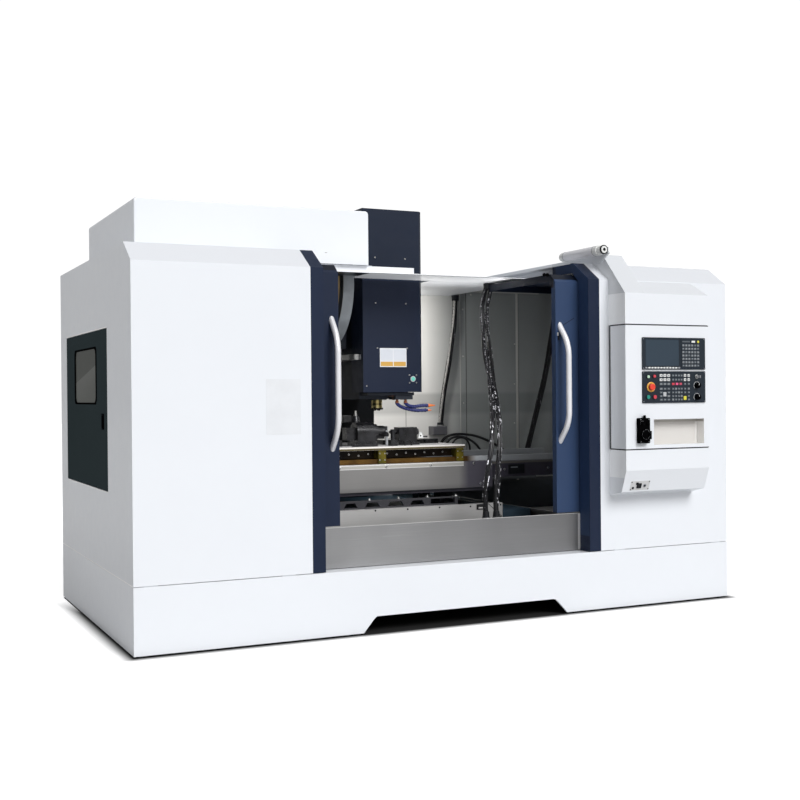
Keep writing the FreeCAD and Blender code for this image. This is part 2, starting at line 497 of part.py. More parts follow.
# ================= sliding doors =================
dp = [(DOOR_Y, DOOR_Z0), (DOOR_Y, DOOR_ZC), (195, DOOR_ZT), (DOOR_ROOF_Y, DOOR_ZT), (DOOR_ROOF_Y, DOOR_ZT - DOOR_T),
      (215, DOOR_ZT - DOOR_T), (DOOR_Y + DOOR_T, 2215), (DOOR_Y + DOOR_T, DOOR_Z0)]
di = [(133, 661), (133, 2238.6), (196.1, 2292), (1027, 2292), (1027, 2240), (205, 2240), (186, 2210), (186, 661)]


def door(x0, x1, w0, w1, ry):
    s = prism("yz", [(min(a, ry), b) for a, b in dp], x0, x1).cut(
        prism("yz", [(min(a, ry - T), b) for a, b in di], x0 + T, x1 - T))
    s = s.cut(rounded("xz", w0, w1, 1150, 1900, 60, 120, 140))
    ring = rounded("xz", w0 - 20, w1 + 20, 1130, 1920, 70, 133, 136).cut(rounded("xz", w0, w1, 1150, 1900, 60, 120, 140))
    pane = box(w0 - 15, w1 + 15, 136, 144, 1135, 1915)
    return s.fuse(ring), pane


out("door_left_panel", *door(LDOOR[0], LDOOR[1], 475, 1095, 900.0))
out("door_right_panel", *door(RDOOR[0], RDOOR[1], 3160, 3780, DOOR_ROOF_Y))


def handle(name, x, dx, zt, zb):
    s = tube(name, [(x - dx * 0.3, DOOR_Y + 21, zt + 30), (x + dx, 45, zt - 120), (x + dx, 45, zb + 114), (x - dx * 0.3, DOOR_Y + 21, zb - 28)], 19)
    return s.common(box(x - 100, x + 100, -200, DOOR_Y, zb - 100, zt + 100))


out("door_left_handle", handle("left", 1281, 4, 1936, 1155))
out("door_right_handle", handle("right", 2968, 11, 1930, 1162))

# ================= side access door =================
sd = box(0, 25, 668, 2061, 893, 1900).cut(box(T, 26, 671, 2058, 896, 1897))
sd = sd.cut(rounded("yz", 984, 1764, 1428, 1802, 42, -1, 10))
sd = sd.cut(box(-1, 10, 764, 862, 1270, 1372)).fuse(box(T, 20, 758, 868, 1264, 1378).cut(box(2, 17, 764, 862, 1270, 1372)))
out("side_door", sd)
out("side_door_window", rounded("yz", 964, 1784, 1408, 1822, 50, T, 9))

# ================= control pendant =================
px0, px1 = 3409.0, 3945.0
pb = box(X_C1, X_C2, Y_C, -12, PEND_Z0, PEND_Z1)
pb = pb.makeFillet(4, [e for e in pb.Edges if e.BoundBox.ZLength > 100 and e.BoundBox.YMax < -100])
pb = pb.cut(box(X_C1 + T, X_C2 - T, Y_C + T, -12 - T, PEND_Z0 + T, PEND_Z1 - T))
pb = pb.cut(cyl("z", 6.05, PIVOT[0], PIVOT[1], 1920, 30)).cut(cyl("z", 6.05, PIVOT[0], PIVOT[1], 1080, 30))
pb = pb.cut(box(px0 + 11, px1 - 10, Y_C - 5, Y_C + 10, 1640, 1842))
pb = pb.cut(box(px0 + 11, px1 - 10, Y_C - 5, Y_C + 10, 1412, 1612))
pb = pb.cut(box(3507, 3937, Y_C - 5, Y_C + 10, 1120, 1292))
pb = pb.fuse(box(3504, 3940, Y_C + 1, Y_C + 73, 1117, 1295).cut(box(3507, 3937, Y_C - 1, Y_C + 70, 1120, 1292)))
out("pendant_box", pb)
scr = box(px0, px1, Y_C - 8, Y_C, 1632, 1850)
scr = scr.makeFillet(5, [e for e in scr.Edges if e.BoundBox.YLength > 5]).fuse(box(px0 + 12, px1 - 11, Y_C, Y_C + 60, 1641, 1841))
scr = scr.cut(box(px0 + 26, px0 + 346, Y_C - 9, Y_C - 5, 1654, 1838))
out("screen_unit", scr)
op = box(px0, px1, Y_C - 8, Y_C, 1404, 1620)
op = op.makeFillet(5, [e for e in op.Edges if e.BoundBox.YLength > 5]).fuse(box(px0 + 12, px1 - 11, Y_C, Y_C + 40, 1413, 1611))
YP = Y_C - 8
buttons = {"emergency_stop": (3477, 1513, 22.0, 12), "power_on_button": (3452, 1583, 10.0, 5), "power_off_button": (3503, 1586, 10.0, 5),
           "start_button": (3451, 1445, 13.0, 6), "stop_button": (3506, 1445, 13.0, 6)}
knobs = {"feed_knob": (3870, 1522, 19.0, 20), "rapid_knob": (3870, 1442, 19.0, 20), "key_switch": (3871, 1583, 10.0, 14)}
for n, (x, z, r, h) in list(buttons.items()) + list(knobs.items()):
    op = op.cut(cyl("y", 6.05, x, YP - 5, z, 60))
for n, (x, z, r, h) in buttons.items():
    collar = 31 if n == "emergency_stop" else r + 3.5
    op = op.fuse(cyl("y", collar, x, YP - 3, z, 4).cut(cyl("y", 6.05 if n == "emergency_stop" else r + 0.8, x, YP - 6, z, 8)))
out("operator_panel", op)
for n, (x, z, r, h) in buttons.items():
    if n == "emergency_stop":
        b = cyl("y", 6, x, YP - 14, z, 50).fuse(cyl("y", r, x, YP - 24, z, 12))
        b = b.makeFillet(4, [e for e in b.Edges if abs(e.BoundBox.YMin - (YP - 24)) < 0.1 and e.BoundBox.YLength < 0.1])
        b = b.fuse(cone("y", 14, r - 1, x, YP - 12.5, z, 3.5))
    else:
        b = cyl("y", 6, x, YP - 10, z, 46).fuse(cyl("y", r, x, YP - 11, z, 5.5))
    out(n, b)
for n, (x, z, r, h) in knobs.items():
    b = cyl("y", 6, x, YP - 6, z, 42).fuse(cyl("y", r, x, YP - 2 - h, z, h))
    if n == "key_switch":
        b = b.fuse(box(x - 2, x + 2, YP - 40, YP - 14, z - 9, z + 9))
    else:
        b = b.fuse(box(x - 4, x + 4, YP - 26, YP - 20, z - r + 1, z + r - 1))
    out(n, b)
hb = box(3362, 3449, Y_C - 34, Y_C, 1133, 1304)
hb = hb.makeFillet(8, [e for e in hb.Edges if e.BoundBox.YLength > 5])
hb = hb.fuse(cyl("z", 9, 3416, Y_C - 17, 1304, 18)).fuse(box(3449, 3467, Y_C - 28, Y_C, 1160, 1216))
hb = hb.fuse(cyl("y", 11, 3384, Y_C - 48, 1270, 15)).fuse(cyl("y", 11, 3426, Y_C - 48, 1270, 15))
hb = hb.cut(cyl("y", 7.05, 3405, Y_C - 40, 1193, 30))
out("handwheel_box", hb)
hd = cyl("y", 36, 3405, Y_C - 48, 1193, 13).fuse(cyl("y", 7, 3405, Y_C - 40, 1193, 28)).fuse(
    cyl("y", 6, 3405 + 19, Y_C - 62, 1193, 13)).fuse(cyl("y", 28, 3405, Y_C - 52, 1193, 5))
out("handwheel_dial", hd)

# ================= signal lamp =================
lx, ly, lz = LAMP
lamp = cyl("y", 33, lx, ly + 30, lz, 430).fuse(cyl("y", 30, lx, ly - 40, lz, 70)).fuse(cyl("y", 35, lx, ly + 14, lz, 22)).fuse(
    cyl("y", 28, lx, ly + 460, lz, 14)).fuse(cyl("x", 8, lx + 20, ly, lz, 46)).fuse(cyl("y", 12, lx, ly - 42, lz, 10))
out("signal_lamp", lamp)

# ================= cables and hoses =================
CORDS = {
    "cable_bundle_rear": (25, [(3237, 2140, 2312), (3225, 2130, 2121), (3199, 2145, 1893), (3150, 2130, 1664),
                               (3110, 2142, 1444), (3082, 2136, 1220)]),
    "cable_bundle_front_a": (20, [(2932, 1068, 2304), (2888, 1060, 2190), (2826, 965, 2085), (2763, 845, 1990),
                                  (2711, 740, 1829), (2666, 600, 1631), (2604, 440, 1419), (2541, 320, 1228),
                                  (2486, 270, 1027), (2451, 265, 859), (2444, 268, 740), (2447, 262, 644)]),
    "cable_bundle_front_b": (20, [(2976, 1068, 2304), (2940, 1060, 2190), (2885, 995, 2093), (2815, 880, 1997),
                                  (2756, 740, 1829), (2721, 640, 1632), (2650, 450, 1419), (2602, 330, 1213),
                                  (2560, 275, 1025), (2537, 265, 856), (2526, 268, 740), (2528, 262, 644)]),
    "hose_right": (22, [(4226, 2105, 2372), (4216, 2100, 2200), (4172, 2120, 1900), (4108, 2105, 1630),
                        (4044, 2125, 1375), (3966, 2110, 1140), (3908, 2120, 931), (3898, 2130, 803)]),
    "hose_arc_a": (11, [(3078, 2150, 986), (3080, 2146, 1055), (3122, 2134, 1112), (3195, 2118, 1138),
                        (3290, 2110, 1137), (3420, 2122, 1120), (3560, 2112, 1064), (3700, 2122, 988),
                        (3800, 2112, 905), (3836, 2120, 806)]),
    "hose_arc_b": (10, [(3108, 2110, 986), (3110, 2106, 1045), (3150, 2098, 1102), (3225, 2098, 1122),
                        (3318, 2098, 1104), (3412, 2092, 1044), (3474, 2098, 954), (3500, 2106, 870),
                        (3502, 2110, 802)]),
    "hose_arc_c": (8, [(3150, 2074, 986), (3150, 2070, 1057), (3203, 2066, 1110), (3277, 2066, 1110),
                       (3328, 2072, 1054), (3334, 2082, 965), (3338, 2092, 880), (3340, 2100, 802)]),
}
for n, (r, pts) in CORDS.items():
    out(n, tube(n, pts, r))

print(len(MADE), "nodes")
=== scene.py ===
import bpy, bmesh, json, math
from mathutils import Vector, Matrix

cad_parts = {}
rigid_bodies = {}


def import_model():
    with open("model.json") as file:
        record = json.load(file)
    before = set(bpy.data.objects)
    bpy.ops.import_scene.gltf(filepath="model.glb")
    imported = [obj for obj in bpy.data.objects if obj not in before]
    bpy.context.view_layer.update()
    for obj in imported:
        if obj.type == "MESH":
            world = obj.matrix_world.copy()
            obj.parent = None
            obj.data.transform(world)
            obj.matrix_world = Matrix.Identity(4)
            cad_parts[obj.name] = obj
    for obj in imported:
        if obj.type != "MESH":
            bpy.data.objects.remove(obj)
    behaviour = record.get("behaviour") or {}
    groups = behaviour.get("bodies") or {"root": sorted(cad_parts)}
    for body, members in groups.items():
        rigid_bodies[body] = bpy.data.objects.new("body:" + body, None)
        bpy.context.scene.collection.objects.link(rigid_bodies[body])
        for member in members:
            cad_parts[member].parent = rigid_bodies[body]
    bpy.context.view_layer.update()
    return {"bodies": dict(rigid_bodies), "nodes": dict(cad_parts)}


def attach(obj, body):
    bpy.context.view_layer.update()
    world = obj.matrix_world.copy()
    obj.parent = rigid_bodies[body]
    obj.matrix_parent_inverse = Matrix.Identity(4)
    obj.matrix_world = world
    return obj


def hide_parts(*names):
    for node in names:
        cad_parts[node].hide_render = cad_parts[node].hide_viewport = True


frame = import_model()
NODES = frame["nodes"]


def P(x, y, z):
    """Layout millimetres (x from the left side, y from the plinth front, z from the plinth's lower edge) to metres."""
    return Vector(((x - 2150.0) / 1000.0, (y - 1519.0) / 1000.0, (z + 10.0) / 1000.0))


# ------------------------------------------------------------------ camera
yaw, pit, rol = math.radians(25.5726), math.radians(-0.2553), math.radians(-0.4867)
d = Vector((math.sin(yaw) * math.cos(pit), math.cos(yaw) * math.cos(pit), math.sin(pit)))
r = Vector((math.cos(yaw), -math.sin(yaw), 0))
u = r.cross(d)
R = r * math.cos(rol) + u * math.sin(rol)
U = -r * math.sin(rol) + u * math.cos(rol)
cam = bpy.data.objects.new("camera", bpy.data.cameras.new("camera"))
bpy.context.scene.collection.objects.link(cam)
cam.data.sensor_width = 36.0
cam.data.lens = 1176.87 / 800.0 * 36.0
cam.data.clip_end = 200.0
M = Matrix((R, U, -d)).transposed().to_4x4()
M.translation = P(-1505.3, -6665.6, 1474.8)
cam.matrix_world = M
bpy.context.scene.camera = cam


# ------------------------------------------------------------------ materials
class Mat:
    """A node material being built: one Principled shader and small helpers."""

    def __init__(self, name, color=(0.8, 0.8, 0.8), rough=0.5, metal=0.0, **sockets):
        self.m = bpy.data.materials.new(name)
        self.m.use_nodes = True
        self.t = self.m.node_tree
        self.b = self.t.nodes["Principled BSDF"]
        self.set("Base Color", (*color, 1.0))
        self.set("Roughness", rough)
        self.set("Metallic", metal)
        for k, v in sockets.items():
            self.set(k.replace("_", " "), v)
        self.coord = None

    def set(self, k, v):
        self.b.inputs[k].default_value = v

    def node(self, kind, **kw):
        n = self.t.nodes.new(kind)
        for k, v in kw.items():
            setattr(n, k, v)
        return n

    def link(self, a, b):
        self.t.links.new(a, b)

    def obj(self, scale=(1, 1, 1), uv=False, rot=(0, 0, 0)):
        if self.coord is None:
            self.coord = self.node("ShaderNodeTexCoord")
        mp = self.node("ShaderNodeMapping")
        mp.inputs["Scale"].default_value = scale
        mp.inputs["Rotation"].default_value = rot
        self.link(self.coord.outputs["UV" if uv else "Object"], mp.inputs["Vector"])
        return mp.outputs["Vector"]

    def noise(self, scale, detail=3.0, rough=0.55, vec=None, distortion=0.0):
        n = self.node("ShaderNodeTexNoise")
        n.inputs["Scale"].default_value = scale
        n.inputs["Detail"].default_value = detail
        n.inputs["Roughness"].default_value = rough
        n.inputs["Distortion"].default_value = distortion
        self.link(vec if vec is not None else self.obj(), n.inputs["Vector"])
        return n.outputs["Fac"]

    def ramp(self, fac, stops):
        n = self.node("ShaderNodeValToRGB")
        e = n.color_ramp.elements
        while len(e) > len(stops):
            e.remove(e[-1])
        while len(e) < len(stops):
            e.new(1.0)
        for s, (p, c) in zip(e, stops):
            s.position = p
            s.color = (*c, 1.0) if len(c) == 3 else c
        self.link(fac, n.inputs["Fac"])
        return n.outputs["Color"]

    def rng(self, fac, a, b, lo=0.0, hi=1.0, clamp=True):
        n = self.node("ShaderNodeMapRange", clamp=clamp)
        n.inputs["From Min"].default_value = lo
        n.inputs["From Max"].default_value = hi
        n.inputs["To Min"].default_value = a
        n.inputs["To Max"].default_value = b
        self.link(fac, n.inputs["Value"])
        return n.outputs["Result"]

    def math(self, op, a, b=None, c=None):
        n = self.node("ShaderNodeMath", operation=op)
        for i, v in enumerate((a, b, c)):
            if v is None:
                continue
            if isinstance(v, (int, float)):
                n.inputs[i].default_value = v
            else:
                self.link(v, n.inputs[i])
        return n.outputs[0]

    def mix(self, fac, a, b, mode="MIX"):
        n = self.node("ShaderNodeMix", data_type="RGBA", blend_type=mode)
        for s, v in ((n.inputs[0], fac), (n.inputs[6], a), (n.inputs[7], b)):
            if isinstance(v, (int, float)):
                s.default_value = v
            elif isinstance(v, tuple):
                s.default_value = (*v, 1.0) if len(v) == 3 else v
            else:
                self.link(v, s)
        return n.outputs[2]

    def to(self, k, out):
        self.link(out, self.b.inputs[k])

    def bump(self, height, strength=0.2, dist=0.001, prev=None):
        n = self.node("ShaderNodeBump")
        n.inputs["Strength"].default_value = strength
        n.inputs["Distance"].default_value = dist
        self.link(height, n.inputs["Height"])
        if prev is not None:
            self.link(prev, n.inputs["Normal"])
        self.link(n.outputs["Normal"], self.b.inputs["Normal"])
        return n.outputs["Normal"]

    def xyz(self):
        if self.coord is None:
            self.coord = self.node("ShaderNodeTexCoord")
        s = self.node("ShaderNodeSeparateXYZ")
        self.link(self.coord.outputs["Object"], s.inputs[0])
        return s.outputs

    def inside(self, lo, hi):
        """1 inside the layout box lo..hi (mm), else 0."""
        a, b = P(*lo), P(*hi)
        s = self.xyz()
        res = None
        for i in range(3):
            for val, op in ((a[i], "GREATER_THAN"), (b[i], "LESS_THAN")):
                if abs(val) > 20:
                    continue
                q = self.math(op, s[i], val)
                res = q if res is None else self.math("MULTIPLY", res, q)
        return res


def paint(name, col, rough=0.32, var=0.035, peel=0.05, coat=0.25, extra=None, spec=0.5):
    m = Mat(name, col, rough, Coat_Weight=coat, Coat_Roughness=0.12, Specular_IOR_Level=spec)
    n1 = m.noise(1.3, 4.0)
    n2 = m.noise(14.0, 4.0)
    c = m.mix(m.rng(n1, 0.0, 1.0, 0.3, 0.7), tuple(x * (1 - var) for x in col), tuple(min(1, x * (1 + var * 0.5)) for x in col))
    c = m.mix(m.rng(n2, 0.0, var * 2.2, 0.45, 0.75), c, tuple(x * 0.86 for x in col))
    m.to("Base Color", c if extra is None else extra(m, c))
    m.to("Roughness", m.rng(n2, rough - 0.06, rough + 0.08, 0.3, 0.7))
    m.bump(m.noise(520.0, 2.0), peel, 0.0004)
    return m.m


def sheet(name, col, rough, metal=0.9, along=0, strength=0.04, var=0.05, shade=None):
    """Rolled sheet metal: faint grain, soft clouds and a few long scuffs."""
    m = Mat(name, col, rough, metal)
    sc = [180.0, 180.0, 180.0]
    sc[along] = 3.0
    grain = m.noise(1.0, 4.0, 0.6, m.obj(tuple(sc)))
    cloud = m.noise(1.7, 5.0, 0.55)
    sc = [34.0, 34.0, 34.0]
    sc[along] = 1.3
    scuff = m.noise(1.0, 6.0, 0.7, m.obj(tuple(sc), rot=(0.03, 0.05, 0.02)))
    c = m.mix(m.rng(cloud, 0, 1, 0.3, 0.7), tuple(x * (1 - var * 1.6) for x in col), tuple(min(1, x * (1 + var)) for x in col))
    c = m.mix(m.rng(grain, 0, 0.5, 0.45, 0.7), c, tuple(x * (1 - var * 2) for x in col))
    c = m.mix(m.rng(scuff, 0, 0.35, 0.62, 0.72), c, tuple(min(1, x * 1.35) for x in col))
    if shade is not None:
        c = shade(m, c)
    m.to("Base Color", c)
    m.to("Roughness", m.rng(cloud, rough - 0.05, rough + 0.09, 0.3, 0.7))
    m.bump(grain, strength, 0.0003)
    return m.m


def brushed(name, col, rough, along=0, strength=0.12, var=0.12):
    m = Mat(name, col, rough, 1.0)
    sc = [260.0, 260.0, 260.0]
    sc[along] = 2.5
    streak = m.noise(1.0, 5.0, 0.65, m.obj(tuple(sc)))
    cloud = m.noise(2.2, 3.0)
    c = m.mix(m.rng(streak, 0, 1, 0.35, 0.65), tuple(x * (1 - var) for x in col), tuple(min(1, x * (1 + var)) for x in col))
    c = m.mix(m.rng(cloud, 0.0, 0.25, 0.4, 0.75), c, tuple(x * 0.7 for x in col))
    m.to("Base Color", c)
    m.to("Roughness", m.rng(streak, rough - 0.07, rough + 0.1, 0.3, 0.7))
    m.bump(streak, strength, 0.0003)
    return m.m


def cast(name, col, rough=0.55, metal=0.0, spec=0.4, extra=None):
    m = Mat(name, col, rough, metal, Specular_IOR_Level=spec)
    n1, n2 = m.noise(6.0, 6.0, 0.6), m.noise(240.0, 3.0)
    c = m.mix(m.rng(n1, 0, 1, 0.35, 0.7), tuple(x * 0.8 for x in col), tuple(min(1, x * 1.15) for x in col))
    m.to("Base Color", c if extra is None else extra(m, c))
    m.to("Roughness", m.rng(n1, rough - 0.1, rough + 0.1, 0.3, 0.7))
    m.bump(n2, 0.25, 0.0006)
    return m.m


def plastic(name, col, rough=0.45, grain=600.0, bump=0.1, coat=0.0, spec=0.5):
    m = Mat(name, col, rough, Coat_Weight=coat, Specular_IOR_Level=spec)
    n1, n2 = m.noise(grain, 3.0), m.noise(9.0, 3.0)
    m.to("Base Color", m.mix(m.rng(n2, 0, 0.25, 0.4, 0.7), col, tuple(x * 0.82 for x in col)))
    m.to("Roughness", m.rng(n1, rough - 0.05, rough + 0.06, 0.3, 0.7))
    m.bump(n1, bump, 0.0002)
    return m.m


def oily(name, col, col2, rough=0.22, metal=0.85, scale=(1, 3, 3)):
    m = Mat(name, col, rough, metal, Coat_Weight=0.5, Coat_Roughness=0.08)
    n1, n2 = m.noise(5.0, 5.0, 0.6, m.obj(scale)), m.noise(38.0, 4.0, 0.6)
    m.to("Base Color", m.mix(m.rng(n1, 0, 1, 0.38, 0.66), col, col2))
    m.to("Roughness", m.rng(n2, rough - 0.08, rough + 0.18, 0.3, 0.7))
    m.bump(n2, 0.15, 0.0006)
    return m.m


def glassy(name, col, rough=0.06, alpha=0.55, spec=0.5, coat=0.6):
    m = Mat(name, col, rough, 0.0, Coat_Weight=coat, Coat_Roughness=0.03, Alpha=alpha, Specular_IOR_Level=spec)
    n = m.noise(1.1, 2.0, 0.5, m.obj((1, 1, 1), False, (0.5, 0.2, 0.6)))
    m.to("Base Color", m.mix(m.rng(n, 0, 1, 0.4, 0.6), col, tuple(min(1, x * 1.5) for x in col)))
    return m.m


def soft(m, axis, a, b):
    """0 at a, 1 at b along a layout axis (mm), straight between."""
    off = (2150.0, 1519.0, -10.0)[axis]
    q = m.rng(m.xyz()[axis], 0.0, 1.0, min(a, b) / 1000.0 - off / 1000.0, max(a, b) / 1000.0 - off / 1000.0)
    return q if b > a else m.math("SUBTRACT", 1.0, q)


def wall_shade(m, c):
    plain = c
    # painted shade on the inner face: the right part darker and greener, the top right darker still
    c = m.mix(m.math("MULTIPLY", soft(m, 0, 2990, 3330), 0.86), c, (0.155, 0.173, 0.175))
    c = m.mix(m.math("MULTIPLY", m.math("MULTIPLY", soft(m, 2, 1450, 2000), soft(m, 0, 2600, 3000)), 0.26), c, (0.045, 0.052, 0.054))
    # painted shade: a darker horizontal band
    band = m.math("MULTIPLY", soft(m, 2, 1290, 1330), soft(m, 2, 1500, 1470))
    c = m.mix(m.math("MULTIPLY", band, 0.35), c, (0.10, 0.11, 0.11))
    # painted shade: near black toward the bottom
    c = m.mix(m.math("MULTIPLY", soft(m, 2, 900, 700), 0.93), c, (0.018, 0.026, 0.034))
    # the junction box's own dark grey
    c = m.mix(m.inside((2990, 2090, 1125), (3140, 2199.5, 1215)), c, (0.085, 0.085, 0.095))
    # the outer face of the wall keeps the plain enamel
    return m.mix(m.inside((-1, 2201.2, 0), (4301, 2400, 2500)), c, plain)


def beam_shade(m, c):
    # painted shade: the beam's underside strip near black
    return m.mix(m.inside((1175, 690, 2300), (1806, 925, 2312.6)), c, (0.012, 0.014, 0.018))


def sill_shade(m, c):
    # painted shade: darker toward the right; also slightly darker toward the top
    c = m.mix(m.math("MULTIPLY", soft(m, 0, 1700, 2450), 0.42), c, (0.10, 0.10, 0.105))
    return m.mix(m.math("MULTIPLY", soft(m, 2, 520, 655), 0.10), c, (0.09, 0.09, 0.095))


def guard_painted_light_and_shade(m, c):
    # painted shade: the right end darker and purplish; darker toward the bottom
    c = m.mix(m.math("MULTIPLY", soft(m, 0, 2560, 2640), 0.85), c, (0.055, 0.050, 0.075))
    c = m.mix(m.math("MULTIPLY", soft(m, 2, 830, 800), 0.4), c, (0.08, 0.08, 0.085))
    # painted highlight: the top ledge lighter
    return m.mix(m.inside((1400, 800, 957), (2600, 960, 1000)), c, (0.40, 0.39, 0.36))


def tray_shade(m, c):
    return m.mix(m.inside((1200, 628, 701), (2700, 700, 800)), c, (0.040, 0.040, 0.046))


def hood_painted_light_and_shade(m, c):
    # painted shade: the hood slope darker
    c = m.mix(m.inside((3445, -300, 2149), (4310, 700, 2440)), c, (0.745, 0.768, 0.805))
    # painted light: the column's left face lighter
    c = m.mix(m.inside((3150, -300, 900), (3276.6, 700, 2480)), c, (0.95, 0.965, 0.985))
    # painted shade: the hood's left facet darker
    return m.mix(m.inside((3200, -300, 2149), (3445, 700, 2440)), c, (0.66, 0.68, 0.71))


def bevel_shade(m, c):
    # painted shade: the sloped bevel at the top of the front panels darker
    return m.mix(m.inside((-1, 1.2, 1950), (4301, 500, 2400)), c, (0.725, 0.745, 0.785))


def post_painted_light(m, c):
    # painted light: a narrow strip of the right door post lighter
    return m.mix(m.inside((3100, 4, 500), (3112.5, 400, 2400)), c, (0.018, 0.036, 0.088))


def cover_shade(m, c):
    # painted shade: the front part of the head cover darker
    c = m.mix(m.inside((1700, 1000, 1300), (2600, 1400, 2300)), c, (0.0060, 0.0100, 0.0235))
    # painted shade: the low rear part near black
    return m.mix(m.inside((1850, 2100, 600), (2500, 2200, 1500)), c, (0.0030, 0.0035, 0.0045))


def door_parts(name, col, x0, x1):
    """Door enamel with a dark glossy pane behind the window cut-out, and painted shade darkening the door's roof part.
    """
    m = Mat(name, col, 0.42, Coat_Weight=0.06, Coat_Roughness=0.12, Specular_IOR_Level=0.22)
    n1, n2 = m.noise(1.3, 4.0), m.noise(14.0, 4.0)
    c = m.mix(m.rng(n1, 0.0, 1.0, 0.3, 0.7), tuple(x * 0.90 for x in col), tuple(x * 1.05 for x in col))
    c = m.mix(m.rng(n2, 0.0, 0.2, 0.45, 0.75), c, tuple(x * 0.86 for x in col))
    pane = m.inside((x0, 135.6, 1130), (x1, 144.6, 1920))
    # painted shade: the door's roof part dark
    c = m.mix(m.inside((x0 - 260, 150, 2200), (4290, 1100, 2400)), c, (0.0045, 0.0070, 0.0150))
    m.to("Base Color", m.mix(pane, c, m.mix(m.rng(n1, 0, 1, 0.35, 0.65), (0.004, 0.005, 0.006), (0.012, 0.014, 0.016))))
    rough = m.rng(n2, 0.36, 0.50, 0.3, 0.7)
    m.to("Roughness", m.math("ADD", m.math("MULTIPLY", rough, m.math("SUBTRACT", 1.0, pane)), m.math("MULTIPLY", pane, 0.07)))
    m.bump(m.noise(520.0, 2.0), 0.05, 0.0004)
    return m.m


def saddle_parts(name):
    """Dark painted casting with oiled way rails on top."""
    m = Mat(name, (0.03, 0.03, 0.04), 0.5, Specular_IOR_Level=0.35)
    n1, n2 = m.noise(6.0, 6.0, 0.6), m.noise(240.0, 3.0)
    body = m.mix(m.rng(n1, 0, 1, 0.35, 0.7), (0.026, 0.024, 0.034), (0.042, 0.040, 0.052))
    body = m.mix(m.inside((2600, 860, 960), (4000, 1830, 974.5)), body, (0.10, 0.095, 0.085))
    rail = m.mix(m.rng(n1, 0, 1, 0.38, 0.62), (0.15, 0.080, 0.018), (0.060, 0.030, 0.008))
    far = soft(m, 0, 2680, 2760)
    rail = m.mix(far, rail, (0.30, 0.315, 0.33))
    up = m.math("GREATER_THAN", m.xyz()[2], 0.9855)
    m.to("Base Color", m.mix(up, body, rail))
    m.to("Metallic", m.math("MULTIPLY", m.math("MULTIPLY", up, 0.75), m.math("SUBTRACT", 1.0, far)))
    m.to("Roughness", m.rng(n1, 0.32, 0.5, 0.3, 0.7))
    m.bump(n2, 0.2, 0.0005)
    return m.m


def base_top_painted_light(m, c):
    # painted light: a thin band at the casting's top face lighter
    return m.mix(m.inside((1100, 1400, 639), (3300, 1700, 641)), c, (0.085, 0.115, 0.145))


def table_parts(name):
    """Ground top, dark oiled front and brass-coloured carriages."""
    m = Mat(name, (0.4, 0.4, 0.4), 0.4, 0.6, Specular_IOR_Level=0.12)
    n1, n2, n3 = m.noise(4.0, 5.0, 0.6, m.obj((1, 2, 2))), m.noise(60.0, 4.0, 0.6, m.obj((1, 0.3, 3))), m.noise(150.0, 3.0)
    top = m.mix(m.rng(n3, 0, 1, 0.3, 0.7), (0.46, 0.45, 0.46), (0.62, 0.61, 0.62))
    top = m.mix(m.rng(n1, 0, 0.5, 0.5, 0.75), top, (0.22, 0.215, 0.22))
    dark = m.mix(m.rng(n1, 0, 1, 0.36, 0.66), (0.002, 0.001, 0.001), (0.010, 0.006, 0.003))
    # painted glints: pale streaks on the dark oiled front
    dark = m.mix(m.rng(n2, 0, 0.5, 0.70, 0.78), dark, (0.33, 0.32, 0.29))
    gold = m.mix(m.rng(n1, 0, 1, 0.36, 0.62), (0.26, 0.20, 0.025), (0.08, 0.070, 0.015))
    car = None
    for x in (1360, 1988, 2616):
        q = m.inside((x - 30, 900, 980), (x + 30, 1830, 1083))
        car = q if car is None else m.math("MAXIMUM", car, q)
    slab = m.math("GREATER_THAN", m.xyz()[2], 1.0925)
    c = m.mix(car, dark, gold)
    # the slab's front edge is a painted highlight: a bright line with a yellowed lower rim
    edge = m.inside((800, 925, 1083), (2700, 931, 1108))
    c = m.mix(slab, c, top)
    rim = m.mix(m.rng(m.noise(3.0, 3.0, 0.6, m.obj((1, 1, 1))), 0, 1, 0.60, 0.66), (0.62, 0.60, 0.57), (0.42, 0.40, 0.07))
    low = m.inside((800, 925, 1083), (2700, 931, 1096))
    c = m.mix(edge, c, m.mix(low, rim, (0.075, 0.060, 0.030)))
    m.to("Base Color", c)
    m.to("Metallic", m.math("MULTIPLY", m.math("ADD", m.math("MULTIPLY", slab, 0.15), m.math("MULTIPLY", car, 0.7)), 1.0))
    m.to("Roughness", m.rng(n2, 0.24, 0.44, 0.3, 0.7))
    m.bump(n3, 0.08, 0.0004)
    return m.m


def spindle_parts(name):
    m = Mat(name, (0.3, 0.3, 0.3), 0.3, 1.0)
    n1 = m.noise(9.0, 4.0)
    nose = m.math("MULTIPLY", m.math("GREATER_THAN", m.xyz()[2], 1.3865), m.math("LESS_THAN", m.xyz()[2], 1.4565))
    ring = m.math("MULTIPLY", m.math("GREATER_THAN", m.xyz()[2], 1.4135), m.math("LESS_THAN", m.xyz()[2], 1.4195))
    c = m.mix(nose, (0.035, 0.035, 0.038), m.mix(m.rng(n1, 0, 1, 0.4, 0.6), (0.95, 0.84, 0.45), (0.70, 0.58, 0.24)))
    m.to("Base Color", m.mix(ring, c, (0.03, 0.025, 0.02)))
    m.to("Roughness", m.rng(n1, 0.22, 0.34, 0.3, 0.7))
    m.bump(m.noise(90.0, 3.0, 0.6, m.obj((0.4, 0.4, 9))), 0.12, 0.0003)
    return m.m


